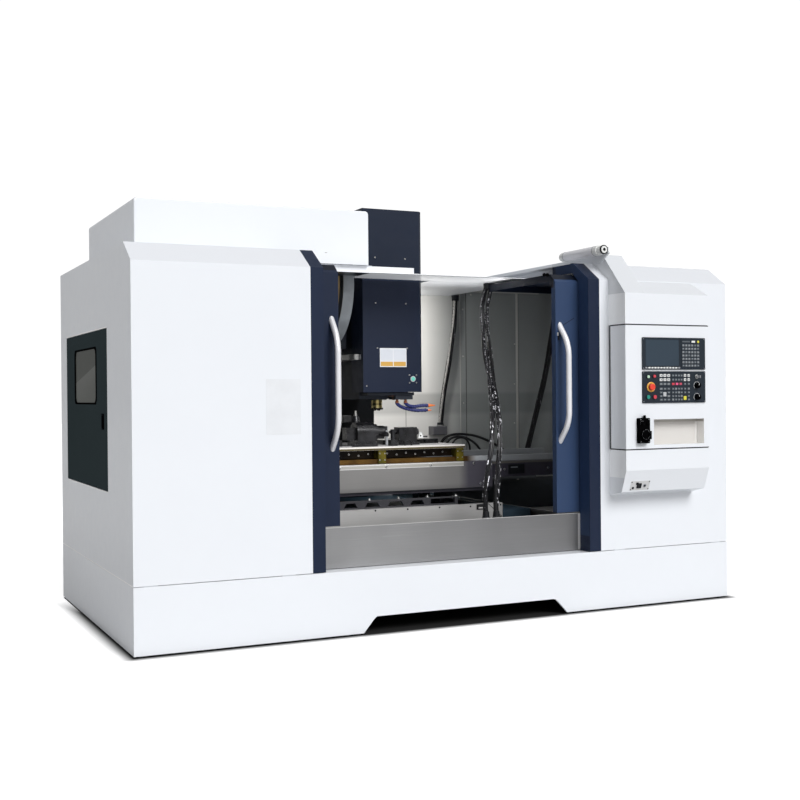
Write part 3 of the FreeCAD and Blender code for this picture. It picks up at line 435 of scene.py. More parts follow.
def hose_parts(name):
    """Ball-and-socket coolant line: ribbed blue segments, orange nozzles, brass roots."""
    m = Mat(name, (0.01, 0.015, 0.08), 0.35, Coat_Weight=0.4)
    s = m.xyz()
    wave = m.math("SINE", m.math("MULTIPLY", m.math("ADD", s[0], m.math("MULTIPLY", s[2], -0.6)), 430.0))
    blue = m.mix(m.rng(wave, 0, 1, -0.5, 0.6), (0.006, 0.008, 0.035), (0.020, 0.032, 0.19))
    tip = m.math("GREATER_THAN", s[0], 0.338)
    root = m.math("GREATER_THAN", s[2], 1.424)
    c = m.mix(tip, blue, (0.80, 0.20, 0.035))
    m.to("Base Color", m.mix(root, c, (0.30, 0.10, 0.04)))
    m.to("Roughness", m.rng(m.noise(90.0, 3.0), 0.28, 0.44, 0.3, 0.7))
    m.bump(wave, 0.7, 0.0015)
    return m.m


def disc_parts(name):
    m = Mat(name, (0.3, 0.3, 0.3), 0.42, 0.3)
    n1 = m.noise(7.0, 5.0)
    m.to("Base Color", m.mix(m.rng(n1, 0, 1, 0.35, 0.65), (0.13, 0.09, 0.04), (0.30, 0.22, 0.11)))
    m.to("Roughness", m.rng(n1, 0.34, 0.5, 0.3, 0.7))
    m.bump(m.noise(170.0, 3.0), 0.15, 0.0005)
    return m.m


def pendant_pocket_light_and_shade(m, c):
    # the pocket's own beige
    c = m.mix(m.inside((3506, -189.5, 1119), (3938, -100, 1293)), c, (0.69, 0.67, 0.645))
    # painted light: the pocket's right inner wall lighter
    c = m.mix(m.inside((3915, -189.5, 1100), (3938, -100, 1293)), c, (0.93, 0.92, 0.90))
    # painted shadow: a darker band along the top of the pocket
    return m.mix(m.inside((3506, -189.5, 1272), (3938, -100, 1293)), c, (0.50, 0.48, 0.45))


WHITE = paint("white_enamel", (0.80, 0.825, 0.865), 0.34, 0.012, 0.035)
WHITE_P = paint("white_enamel_pendant", (0.80, 0.825, 0.865), 0.34, 0.012, 0.035, extra=pendant_pocket_light_and_shade)
GREYP = paint("grey_enamel", (0.52, 0.52, 0.50), 0.42, 0.05, 0.05)
WALL = paint("splash_wall_enamel", (0.775, 0.765, 0.742), 0.42, 0.05, 0.03, 0.15, extra=wall_shade)
NAVY = paint("slate_navy_enamel", (0.0100, 0.0178, 0.0435), 0.42, 0.10, 0.05, 0.06, post_painted_light, 0.20)
NAVY_B = paint("blue_navy_enamel", (0.031, 0.057, 0.126), 0.40, 0.10, 0.05, 0.08, spec=0.25)
DOOR_L = door_parts("slate_navy_door", (0.0100, 0.0178, 0.0435), 455, 1115)
DOOR_R = door_parts("blue_navy_door", (0.031, 0.057, 0.126), 3140, 3800)
SLATE = paint("dark_slate_enamel", (0.0100, 0.0160, 0.033), 0.42, 0.10, 0.05, 0.10, cover_shade, 0.2)
WHITE_F = paint("white_enamel_front", (0.80, 0.825, 0.865), 0.34, 0.012, 0.035, extra=bevel_shade)
WHITE_C = paint("white_enamel_column", (0.80, 0.825, 0.865), 0.34, 0.012, 0.035, extra=hood_painted_light_and_shade)
DARK = paint("charcoal_enamel", (0.0370, 0.0500, 0.0540), 0.6, 0.04, 0.02, 0.0, spec=0.0)
LOUVRE = paint("charcoal_louvre", (0.010, 0.012, 0.014), 0.6, 0.1, 0.06, 0.0, spec=0.1)
STEEL = sheet("satin_stainless", (0.375, 0.375, 0.38), 0.42, 0.80, shade=sill_shade)
STEEL_T = sheet("satin_stainless_tray", (0.42, 0.415, 0.41), 0.40, 0.60, shade=tray_shade)
STEEL_G = sheet("satin_stainless_guard", (0.215, 0.211, 0.207), 0.44, 0.60, shade=guard_painted_light_and_shade)
STEEL_V = brushed("brushed_stainless_upright", (0.55, 0.555, 0.56), 0.34, 2)
GROUND = brushed("ground_steel", (0.46, 0.46, 0.45), 0.30, 0, 0.08, 0.2)
SATIN = brushed("satin_aluminium", (0.90, 0.90, 0.93), 0.34, 2, 0.03, 0.05)
SATIN.node_tree.nodes["Principled BSDF"].inputs["Metallic"].default_value = 0.35
CAST = cast("cast_iron_paint", (0.16, 0.175, 0.19), 0.5)
CASTB = cast("cast_iron_blue", (0.030, 0.055, 0.080), 0.5, extra=base_top_painted_light)
CASTD = cast("cast_iron_dark", (0.014, 0.017, 0.024), 0.5, spec=0.3)
TOOLD = oily("blackened_steel", (0.006, 0.006, 0.007), (0.022, 0.022, 0.025), 0.28, 0.5, (3, 3, 3))
SADDLE = saddle_parts("saddle_enamel_and_ways")
TABLE = table_parts("table_iron")
SPIND = spindle_parts("spindle_steel")
HOSE = hose_parts("coolant_line")
DISC = disc_parts("magazine_pots")
BLACKP = plastic("black_plastic", (0.007, 0.008, 0.010), 0.45, spec=0.3)
JET = plastic("jet_plastic", (0.0022, 0.0022, 0.0025), 0.7, spec=0.0)
PANELB = plastic("panel_black", (0.013, 0.020, 0.030), 0.42, 500, 0.06, 0.0, 0.3)
GREYPL = plastic("grey_plastic", (0.33, 0.34, 0.36), 0.42)
DIMKEY = plastic("dim_key", (0.085, 0.100, 0.115), 0.45, 500, 0.05)
MIDKEY = plastic("mid_key", (0.17, 0.185, 0.20), 0.45, 500, 0.05)
WHITEPL = plastic("white_plastic", (0.78, 0.79, 0.78), 0.36, 500, 0.05, 0.2)
REDPL = plastic("red_plastic", (0.80, 0.050, 0.025), 0.32, 400, 0.04, 0.3)
REDKEY = plastic("red_key", (0.62, 0.05, 0.075), 0.36, 400, 0.04, 0.2)
TEALPL = plastic("green_plastic", (0.012, 0.26, 0.20), 0.34, 400, 0.04, 0.3)
LIMEPL = plastic("pale_green_plastic", (0.50, 0.70, 0.52), 0.34, 400, 0.04, 0.3)
YELLOWPL = plastic("yellow_plastic", (0.72, 0.66, 0.06), 0.36, 400, 0.04, 0.2)
ORANGEPL = plastic("orange_plastic", (0.80, 0.40, 0.06), 0.36, 400, 0.04, 0.2)
PINKPL = plastic("rose_plastic", (0.55, 0.07, 0.12), 0.4, 400, 0.04, 0.2)
HOTPINK = plastic("bright_rose_plastic", (0.85, 0.10, 0.25), 0.4, 400, 0.04, 0.2)
BOLT = brushed("zinc_bolt", (0.72, 0.71, 0.69), 0.30, 2, 0.04, 0.06)
RUBBER = plastic("black_seal_rubber", (0.008, 0.008, 0.009), 0.6, 300, 0.2, spec=0.2)
PLATE = plastic("bare_plate", (0.52, 0.53, 0.55), 0.4, 300, 0.03, 0.1)
GREENEYE = plastic("sight_glass_green", (0.10, 0.42, 0.34), 0.15, 60, 0.03, 0.8)
GOLD = oily("oiled_brass", (0.42, 0.27, 0.055), (0.20, 0.115, 0.02))
PANE = glassy("tinted_glass", (0.030, 0.032, 0.031), 0.10, 0.9, 0.18, 0.10)
LCD = glassy("screen_glass", (0.022, 0.034, 0.048), 0.16, 1.0, 0.3, 0.15)
SASH = glassy("door_glass", (0.06, 0.065, 0.065), 0.06, 0.55, 0.4, 0.3)


BEIGELIGHT = paint("splash_wall_lip", (0.40, 0.40, 0.385), 0.42, 0.05, 0.03, 0.1)
# a lighter copy of the satin stainless for edges and lips: painted highlight
STEEL_L = sheet("stainless_painted_highlight", (0.66, 0.655, 0.65), 0.34, 0.5)
PLATE_B = plastic("bare_plate_inset", (0.44, 0.46, 0.50), 0.4, 300, 0.03, 0.1)
AMBER = plastic("amber_plate_inset", (0.42, 0.24, 0.045), 0.4, 300, 0.03, 0.1)
COPPER = oily("copper_elbow", (0.22, 0.085, 0.045), (0.045, 0.022, 0.018), 0.3, 0.8)


def pane_parts(name):
    """Grey tinted pane with one long soft reflection across it."""
    m = Mat(name, (0.05, 0.055, 0.05), 0.35, 0.0, Specular_IOR_Level=0.02)
    s = m.xyz()
    f = m.math("SUBTRACT", s[2], m.math("MULTIPLY_ADD", s[1], -0.16, 1.616))
    below = m.math("LESS_THAN", f, 0.0)
    glow = m.math("MULTIPLY", below, m.rng(f, 0.12, 0.55, -0.26, 0.0))
    n = m.rng(m.noise(1.5, 3.0), 0.0, 0.15, 0.3, 0.7)
    base = m.mix(n, (0.073, 0.078, 0.070), (0.058, 0.062, 0.056))
    m.to("Base Color", m.mix(glow, base, (0.19, 0.195, 0.185)))
    m.bump(m.noise(60.0, 2.0), 0.01, 0.0002)
    return m.m


PANE = pane_parts("tinted_glass_side")
KEYINK = plastic("key_ink", (0.22, 0.24, 0.27), 0.5, 400, 0.03)
SEALG = plastic("edge_seal", (0.055, 0.055, 0.060), 0.6, 300, 0.1, spec=0.2)
# a white strip colour standing in for the light on the plinth joint: painted highlight
PLINTH_HIGHLIGHT = plastic("plinth_painted_highlight", (0.93, 0.93, 0.93), 0.4, 300, 0.02)
# bright zinc, made lighter than the other bolts as a painted highlight on the heads
BOLT_W = brushed("bright_bolt_painted_highlight", (0.92, 0.92, 0.90), 0.26, 2, 0.03, 0.05)
KEYMARK = plastic("key_print", (0.42, 0.46, 0.50), 0.5, 400, 0.03)
WHITEPL_D = plastic("off_white_key", (0.50, 0.52, 0.54), 0.4, 400, 0.04)
PLATE_G = plastic("port_plate_grey", (0.62, 0.62, 0.62), 0.4, 300, 0.03, 0.1)
PLATE_F = plastic("front_bare_plate", (0.765, 0.785, 0.815), 0.4, 300, 0.02, 0.1)
LENS = plastic("lamp_lens", (0.80, 0.80, 0.84), 0.22, 200, 0.03, 0.5)


# ------------------------------------------------------------------ mesh builder
class Piece:
    """Collects beveled solids of several materials into one object that rides on a body."""

    def __init__(self, name, body, *mats):
        self.name, self.body, self.mats = name, body, list(mats)
        self.bm = bmesh.new()

    def _mi(self, mat):
        if mat is None:
            return 0
        if mat not in self.mats:
            self.mats.append(mat)
        return self.mats.index(mat)

    def _take(self, before, mat, smooth=False):
        mi = self._mi(mat)
        for f in self.bm.faces:
            if f not in before:
                f.material_index = mi
                f.smooth = smooth

    def poly(self, plane, pts, a, b, mat=None, bevel=0.0, segs=2):
        """A closed polygon extruded: plane 'yz' along x, 'xz' along y, 'xy' along z (layout mm)."""
        def at(p, t):
            return P(t, p[0], p[1]) if plane == "yz" else (P(p[0], t, p[1]) if plane == "xz" else P(p[0], p[1], t))
        tmp = bmesh.new()
        lo = [tmp.verts.new(at(p, a)) for p in pts]
        hi = [tmp.verts.new(at(p, b)) for p in pts]
        n = len(pts)
        tmp.faces.new(lo)
        tmp.faces.new(list(reversed(hi)))
        for i in range(n):
            tmp.faces.new([lo[(i + 1) % n], lo[i], hi[i], hi[(i + 1) % n]])
        bmesh.ops.recalc_face_normals(tmp, faces=tmp.faces[:])
        if bevel:
            bmesh.ops.bevel(tmp, geom=tmp.edges[:], offset=bevel / 1000.0, segments=segs, affect="EDGES", profile=0.5)
        self._merge(tmp, mat, bool(bevel) and segs > 1)
        return self

    def box(self, x0, x1, y0, y1, z0, z1, mat=None, bevel=1.0, segs=2):
        return self.poly("xy", [(x0, y0), (x1, y0), (x1, y1), (x0, y1)], z0, z1, mat, bevel, segs)

    def cyl(self, axis, rad, x, y, z, length, mat=None, bevel=0.6, sides=24, rad2=None):
        rad2 = rad if rad2 is None else rad2
        tmp = bmesh.new()
        r1, r2, L = rad / 1000.0, rad2 / 1000.0, length / 1000.0
        bv = min(bevel / 1000.0, r1 * 0.45, max(r2 * 0.45, 1e-5), L * 0.45)
        prof = [(0.0, 0.0), (r1 - bv, 0.0), (r1 - bv * 0.3, bv * 0.3), (r1, bv), (r2, L - bv), (r2 - bv * 0.3, L - bv * 0.3), (r2 - bv, L), (0.0, L)]
        rings = []
        for rr, h in prof[1:-1]:
            rings.append([tmp.verts.new((rr * math.cos(2 * math.pi * i / sides), rr * math.sin(2 * math.pi * i / sides), h)) for i in range(sides)])
        tmp.faces.new(list(reversed(rings[0])))
        tmp.faces.new(rings[-1])
        for a, b in zip(rings, rings[1:]):
            for i in range(sides):
                tmp.faces.new([a[i], a[(i + 1) % sides], b[(i + 1) % sides], b[i]])
        q = {"z": Matrix.Identity(4), "x": Matrix.Rotation(math.pi / 2, 4, "Y"), "y": Matrix.Rotation(-math.pi / 2, 4, "X")}[axis]
        bmesh.ops.transform(tmp, matrix=Matrix.Translation(P(x, y, z)) @ q, verts=tmp.verts[:])
        self._merge(tmp, mat, True)
        return self

    def rot(self, fn, centre, axis, deg):
        """Run fn(self) and turn only what it adds, about a layout point."""
        before = set(self.bm.verts)
        fn(self)
        new = [v for v in self.bm.verts if v not in before]
        c = P(*centre)
        m = Matrix.Translation(c) @ Matrix.Rotation(math.radians(deg), 4, axis) @ Matrix.Translation(-c)
        bmesh.ops.transform(self.bm, matrix=m, verts=new)
        return self

    def hexbolt(self, axis, x, y, z, rad=9.0, h=7.0, mat=None, sgn=-1):
        """A socket-head or hex screw standing h out of a face along sgn*axis."""
        mat = mat or BOLT
        o = -h if sgn < 0 else 0.0
        pos = {"x": (x + o, y, z), "y": (x, y + o, z), "z": (x, y, z + o)}[axis]
        self.cyl(axis, rad, *pos, h, mat, 0.8, 18)
        q = {"x": (x + (-h - 0.3 if sgn < 0 else h - 1.2), y, z), "y": (x, y + (-h - 0.3 if sgn < 0 else h - 1.2), z), "z": (x, y, z + (-h - 0.3 if sgn < 0 else h - 1.2))}[axis]
        self.cyl(axis, rad * 0.5, *q, 1.5, BLACKP, 0.1, 6)
        return self

    def tube(self, pts, rad, mat=None, sides=12, smooth_steps=6, wave=0.0):
        """A round tube along a smooth line through layout points."""
        V3 = [P(*p) for p in pts]
        line = []
        n = len(V3)
        for i in range(n - 1):
            p0, p1, p2, p3 = V3[max(i - 1, 0)], V3[i], V3[i + 1], V3[min(i + 2, n - 1)]
            for k in range(smooth_steps):
                t = k / smooth_steps
                line.append(0.5 * ((2 * p1) + (-p0 + p2) * t + (2 * p0 - 5 * p1 + 4 * p2 - p3) * t * t + (-p0 + 3 * p1 - 3 * p2 + p3) * t ** 3))
        line.append(V3[-1])
        tmp = bmesh.new()
        rr = rad / 1000.0
        t0 = (line[1] - line[0]).normalized()
        up = Vector((0, 0, 1)) if abs(t0.z) < 0.9 else Vector((1, 0, 0))
        nrm = t0.cross(up).normalized()
        rings = []
        for i, p in enumerate(line):
            t = (line[min(i + 1, len(line) - 1)] - line[max(i - 1, 0)]).normalized()
            nrm = (nrm - t * nrm.dot(t)).normalized()
            bn = t.cross(nrm)
            q = rr * (1.0 + wave * (0.0 if i % 3 == 0 else 1.0))
            rings.append([tmp.verts.new(p + (nrm * math.cos(2 * math.pi * k / sides) + bn * math.sin(2 * math.pi * k / sides)) * q) for k in range(sides)])
        for a, b in zip(rings, rings[1:]):
            for k in range(sides):
                tmp.faces.new([a[k], a[(k + 1) % sides], b[(k + 1) % sides], b[k]])
        tmp.faces.new(list(reversed(rings[0])))
        tmp.faces.new(rings[-1])
        bmesh.ops.recalc_face_normals(tmp, faces=tmp.faces[:])
        self._merge(tmp, mat, True)
        return self

    def _merge(self, tmp, mat, smooth):
        mi = self._mi(mat)
        for f in tmp.faces:
            f.material_index = mi
            f.smooth = smooth
        me = bpy.data.meshes.new("tmp")
        tmp.to_mesh(me)
        tmp.free()
        self.bm.from_mesh(me)
        bpy.data.meshes.remove(me)

    def done(self, replaces=()):
        me = bpy.data.meshes.new(self.name)
        for m in self.mats:
            me.materials.append(m)
        self.bm.to_mesh(me)
        self.bm.free()
        o = bpy.data.objects.new(self.name, me)
        bpy.context.scene.collection.objects.link(o)
        sharp(o)
        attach(o, self.body)
        if replaces:
            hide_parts(*replaces)
        return o


def sharp(o, deg=35.0):
    """Flat faces stay flat and rounds stay round: weighted normals over the bevels."""
    w = o.modifiers.new("weighted", "WEIGHTED_NORMAL")
    w.keep_sharp = True
    w.weight = 90
    return o


# ------------------------------------------------------------------ CAD nodes: finishes
def dress(names, *mats):
    for n in names.split():
        me = NODES[n].data
        for i in range(len(me.materials)):
            me.materials[i] = mats[min(i, len(mats) - 1)]


def seams_shade_and_highlights(m, c):
    """Fine panel joints on the flat right-hand side, with painted shade darker toward the bottom and painted highlight
    lines on the left side over the plinth joint and along the service door's top and bottom edges.
    """
    s = m.xyz()
    right = m.math("GREATER_THAN", s[0], 2.149)
    line = None
    for y in (-0.30, 0.55):
        q = m.math("LESS_THAN", m.math("ABSOLUTE", m.math("SUBTRACT", s[1], y)), 0.0016)
        line = q if line is None else m.math("MAXIMUM", line, q)
    # painted shade: darker toward the bottom
    c = m.mix(m.math("MULTIPLY", soft(m, 2, 1700, 500), 0.12), c, (0.42, 0.44, 0.46))
    # painted highlights: white lines over the plinth joint and the service door's top and bottom edges
    for lo, hi in (((-1, 20, 390), (9, 2303, 399)), ((-1, 664, 1901), (1, 2065, 1912)), ((-1, 664, 882), (1, 2065, 893))):
        c = m.mix(m.inside(lo, hi), c, (1.0, 1.0, 1.0))
    return m.mix(m.math("MULTIPLY", right, m.math("MULTIPLY", line, 0.8)), c, (0.10, 0.10, 0.11))


# the beam's white enamel lighter than the other white panels: painted light; beam_shade paints its underside dark
WHITE_B = paint("white_enamel_beam", (0.88, 0.90, 0.935), 0.34, 0.012, 0.035, extra=beam_shade)
WHITE_S = paint("white_enamel_sides", (0.80, 0.825, 0.865), 0.34, 0.012, 0.035, extra=seams_shade_and_highlights)
dress("skirt_panels roof_panels magazine_cover", WHITE)
dress("front_panels", WHITE_F)
dress("control_column", WHITE_C)
dress("roof_front_beam", WHITE_B)
dress("pendant_box", WHITE_P)
dress("side_panels", WHITE_S)
dress("door_frame_posts", NAVY)
dress("door_left_panel", DOOR_L)
dress("door_right_panel", DOOR_R)
dress("head_cover", SLATE)
dress("rear_wall", WALL)
dress("side_door", DARK)
dress("side_door_window", PANE)
dress("door_sill", STEEL)
dress("chip_guard", STEEL_T)
dress("saddle_guard", STEEL_G)
dress("door_left_handle door_right_handle", SATIN)
dress("base_casting", CASTB)
dress("column_casting", CAST)
dress("saddle_casting", SADDLE)
dress("guide_rails", GROUND)
dress("table", TABLE)
dress("rotary_table rotary_chuck tailstock", TOOLD)
dress("spindle", SPIND)
dress("atc_arm", GROUND)
dress("magazine_disc", DISC)
dress("magazine_drum", CAST)
dress("atc_cam_box head_casting servo_motors leveling_pads", CASTD)
dress("electrical_cabinet cabinet_door coolant_tank", GREYP)
dress("screen_unit operator_panel", PANELB)
dress("handwheel_box handwheel_dial feed_knob rapid_knob", JET)
dress("key_switch", GREYPL)
dress("emergency_stop", REDPL)
dress("power_off_button stop_button", REDKEY)
dress("power_on_button", LIMEPL)
dress("start_button", TEALPL)
dress("signal_lamp", WHITEPL)
dress("coolant_hoses", HOSE)
for n in NODES:
    if "window" in n and n != "side_door_window":
        dress(n, SASH)


# ------------------------------------------------------------------ small parts
def ring(pc, plane, c, half, rad, width, a, b, mat, corner=8):
    """A rounded frame: outer half sizes, corner radius and width (layout mm), from a to b along the third axis."""
    def loop(h, r):
        pts = []
        for sx, sy, a0 in ((1, 1, 0), (-1, 1, 90), (-1, -1, 180), (1, -1, 270)):
            for i in range(corner + 1):
                t = math.radians(a0 + 90.0 * i / corner)
                pts.append((c[0] + sx * (h[0] - r) + r * math.cos(t), c[1] + sy * (h[1] - r) + r * math.sin(t)))
        return pts
    def at_(p, t):
        return P(t, p[0], p[1]) if plane == "yz" else (P(p[0], t, p[1]) if plane == "xz" else P(p[0], p[1], t))
    w = width if isinstance(width, tuple) else (width, width)
    o, i_ = loop(half, rad if w is not width else 3.0), loop((half[0] - w[0], half[1] - w[1]), max(rad - w[0], 1.0) if w is not width else rad)
    tmp = bmesh.new()
    rows = [[tmp.verts.new(at_(p, t)) for p in ps] for ps, t in ((o, a), (o, b), (i_, b), (i_, a))]
    n = len(o)
    for k in range(4):
        r0, r1 = rows[k], rows[(k + 1) % 4]
        for j in range(n):
            tmp.faces.new([r0[j], r0[(j + 1) % n], r1[(j + 1) % n], r1[j]])
    bmesh.ops.recalc_face_normals(tmp, faces=tmp.faces[:])
    pc._merge(tmp, mat, True)
    return pc


def dots(name, body, axis, pts, rad=6.0, h=3.0, mat=None, sgn=-1):
    pc = Piece(name, body, mat or BOLT)
    for p in pts:
        pc.hexbolt(axis, *p, rad, h, mat or BOLT, sgn)
    return pc.done()


# splash wall: sheet joints, screws, folded lips
pc = Piece("wall_joints", "frame", WALL)
pc.box(2789.5, 2792.5, 2198.2, 2200, 720, 2372, RUBBER, 0.3)
pc.box(3308, 3314, 2197, 2200, 720, 2372, BEIGELIGHT, 0.8)
pc.box(3367, 3371, 2198, 2200, 720, 2372, RUBBER, 0.3)
pc.box(3866, 3888, 2196, 2200, 720, 2372, BEIGELIGHT, 1.0)
pc.box(3888, 3892, 2198, 2200, 720, 2372, RUBBER, 0.3)
pc.box(2480, 4100, 2192, 2200, 2352, 2372, BEIGELIGHT, 1.5)
pc.box(2483, 4270, 2188, 2200, 742, 752, BEIGELIGHT, 1.5)
pc.done()
dots("wall_screws", "frame", "y", [(3854, 2200, 1911), (3850, 2200, 1561), (3847, 2200, 1219)] + [(x, 2200, 2330) for x in (2560, 2720, 2860, 3040, 3420, 3600)]
     + [(2775, 2200, z) for z in (1000, 1400, 1800, 2200)] + [(3340, 2200, z) for z in (1000, 1400, 1800, 2200)], 6, 3)

# chip pan, comb and sill
pc = Piece("pan_fixings", "frame", BOLT)
for x, z in ((1780, 699), (2023, 697), (2270, 697), (2515, 692), (2760, 693), (2760, 607)):
    pc.cyl("y", 6.5, x, 598.6, z - 8, 1.6, RUBBER, 0.3, 14)
for x, z in ((1754, 757), (1972, 759), (2195, 759), (2419, 757)):
    pc.cyl("z", 11, x, 641, z, 7, BOLT_W, 1.0, 12)
    pc.cyl("z", 6, x, 641, z + 7, 8, BOLT_W, 1.0, 12)
pc.box(2564, 2636, 594, 600.2, 658, 697, RUBBER, 2)
pc.box(2574, 2626, 590, 594.5, 664, 676, BOLT, 1.5)
pc.box(2574, 2626, 590, 594.5, 682, 688, BLACKP, 1.5)
pc.poly("xz", [(2655, 697), (2661, 697), (2775, 600), (2769, 600)], 598.4, 600.1, RUBBER, 0.0)
pc.done()
# the sill's folded right end and top edge in the lighter stainless: painted highlight
pc = Piece("sill_edges", "frame", STEEL_L)
pc.box(3092, 3110, 116.2, 118.0, 400, 648, STEEL_L, 0.6)
pc.box(1178, 3092, 116.8, 118.0, 648.5, 651.8, STEEL_L, 0.5)
pc.done()
pc = Piece("cord_glands", "frame", BLACKP)
for gx in (2447, 2528):
    pc.cyl("z", 30, gx, 262, 618, 20, BLACKP, 2, 6)
    pc.cyl("z", 25, gx, 262, 636, 46, BLACKP, 3, 20, 21)
    for k in range(4):
        ring(pc, "xy", (gx, 262), (24.5 - k, 24.5 - k), 24, 3, 642 + k * 10, 646 + k * 10, RUBBER, 5)
pc.done()
pc = Piece("cord_glands_top", "frame", BLACKP)
for (gx, gy, gz, r_) in ((2932, 1068, 2262, 25), (2976, 1068, 2262, 25), (3237, 2141, 2268, 29), (4226, 2105, 2322, 27)):
    pc.cyl("z", r_, gx, gy, gz, 46, BLACKP, 3, 20, r_ + 3)
pc.done()
pc = Piece("cord_glands_rear", "frame", BLACKP)
for (gx, gy, gz, r_) in ((3078, 2150, 984, 16), (3108, 2110, 984, 15), (3150, 2074, 984, 13)):
    pc.cyl("z", r_ + 3, gx, gy, gz, 12, BOLT, 1.5, 6)
    pc.cyl("z", r_, gx, gy, gz + 12, 30, BLACKP, 3, 18, r_ - 3)
for (gx, gy, gz, r_) in ((3898, 2130, 800, 28), (3836, 2120, 800, 16), (3502, 2110, 800, 15), (3340, 2100, 800, 13)):
    pc.cyl("z", r_ + 2, gx, gy, gz - 2, 12, BOLT, 1.5, 6)
    pc.cyl("z", r_, gx, gy, gz + 10, 26, BLACKP, 3, 18, r_ - 3)
pc.cyl("z", 30, 3082, 2136, 1205, 34, BLACKP, 3, 20, 27)
pc.done()

# saddle guard: lip in the lighter stainless as a painted highlight, screws
pc = Piece("guard_lip", "saddle", STEEL_L)
pc.box(1462, 2600, 849.0, 852.0, 978, 986, STEEL_L, 0.8)
pc.box(1462, 2600, 849.2, 850.2, 955, 959, STEEL_L, 0.3)
pc.done()
dots("guard_screws", "saddle", "y", [(1981, 849.2, 971), (2333, 849.2, 969), (2683, 850, 971), (2741, 850, 820), (1630, 849.2, 972)], 9, 6, BOLT_W)
pc = Piece("saddle_extras", "saddle", CASTD)
pc.box(2990, 3130, 872, 880, 880, 950, BLACKP, 4)
pc.box(3010, 3070, 869.5, 873, 925, 933, MIDKEY, 1)
for x in (520, 900, 1280, 2960, 3340, 3720):
    pc.hexbolt("y", x, 880, 915, 9, 5)
pc.done()

# table: T-slot ends, fixtures and clamps
pc = Piece("table_fixings", "table", BOLT)
for x in range(1460, 2600, 75):
    if min(abs(x - c) for c in (1360, 1988, 2616)) > 45:
        pc.hexbolt("y", x, 1010, 1050 + (4 if (x // 75) % 2 else -6), 7, 5)
for x in (1330, 1388, 1960, 2016, 2588, 2644):
    for z in (1012, 1058):
        pc.hexbolt("y", x + (8 if x in (1330, 1960, 2588) else -8), 934, z, 5, 3)
pc.done()

# head cover: bare plate, sight glass, screws
dots("head_screws", "head", "y", [(2010, 1080, 2468), (2251, 1080, 2467), (2012, 1080, 2140), (2254, 1080, 2140), (2023, 1080, 1814), (2262, 1080, 1814),
                                  (2280, 1080, 1562), (2336, 1080, 1562), (2280, 1080, 1618), (2336, 1080, 1618), (1936, 1080, 1540), (1936, 1080, 2700)], 5.5, 3)
pc = Piece("head_plate", "head", PLATE)
pc.box(2042, 2256, 1077.6, 1080.2, 1677, 1814, PLATE, 0.8)
pc.box(2048, 2146, 1077.2, 1077.9, 1722, 1806, PLATE_B, 0.2)
pc.box(2152, 2250, 1077.2, 1077.9, 1722, 1806, PLATE_B, 0.2)
pc.box(2048, 2146, 1077.2, 1077.9, 1683, 1716, AMBER, 0.2)
pc.box(2152, 2250, 1077.2, 1077.9, 1683, 1716, AMBER, 0.2)
pc.done()
pc = Piece("head_sight_glass", "head", GREYPL)
pc.cyl("y", 21, 2308, 1076, 1590, 4, GREYPL, 1.2, 28)
pc.cyl("y", 15, 2308, 1073, 1590, 4, GREENEYE, 1.6, 28)
pc.done()
pc = Piece("coolant_segments", "head", HOSE)
pc.tube([(2230, 1190, 1430), (2231, 1190, 1410), (2262, 1192, 1388), (2320, 1198, 1370), (2396, 1200, 1358), (2476, 1200, 1358)], 11.5, HOSE, 14, 9, 0.22)
pc.tube([(2292, 1176, 1430), (2293, 1176, 1414), (2320, 1180, 1394), (2372, 1190, 1386), (2436, 1196, 1393), (2503, 1196, 1393)], 11.5, HOSE, 14, 9, 0.22)
pc.done()
pc = Piece("head_underside", "head", CASTD)
pc.box(1962, 2338, 1120, 1540, 1470, 1492, CASTD, 4)
pc.cyl("z", 72, 2150, 1380, 1446, 30, CASTD, 3, 40)
for k in range(8):
    t = math.pi * 2 * k / 8
    pc.cyl("z", 6.5, 2150 + 62 * math.cos(t), 1380 + 62 * math.sin(t), 1440, 7, BOLT, 0.8, 12)
pc.box(2172, 2292, 1150, 1236, 1462, 1494, COPPER, 4)
for x, y in ((2200, 1180), (2230, 1190), (2262, 1176), (2292, 1176)):
    pc.cyl("z", 13, x, y, 1438, 26, COPPER, 1.5, 12)
pc.done()

# right door: latch, rollers, slanted joint
pc = Piece("right_door_latch", "right_door", BLACKP)
pc.box(2946, 2958, 124.5, 130.5, 1840, 1888, BLACKP, 2)
pc.box(2940, 2950, 122, 130.5, 1868, 1892, BOLT, 2)
pc.poly("xz", [(2964, 1926), (2964, 1930), (3083, 1996), (3083, 1992)], 129.2, 130.2, RUBBER, 0.0)
pc.done()
pc = Piece("right_door_rollers", "right_door", JET)
for x in (2880, 2906):
    pc.cyl("y", 12, x, 186, 2290, 10, JET, 1.5, 20)
pc.done()

# beam: bolt, and black strips along the lower edges as painted shadow lines
pc = Piece("beam_bolt_and_shadow_lines", "frame", RUBBER)
pc.box(1800, 3108, 699.0, 701.0, 2311.2, 2313.5, RUBBER, 0.4)
pc.box(1178, 1800, 849.0, 851.0, 2317.0, 2320.0, RUBBER, 0.4)
pc.cyl("z", 10, 1640, 866, 2303, 16, BLACKP, 1.5, 16)
pc.cyl("z", 22, 1640, 866, 2315, 4, BLACKP, 1.0, 24)
pc.cyl("z", 7, 1300, 866, 2309, 10, BOLT, 1.0, 12)
pc.done()

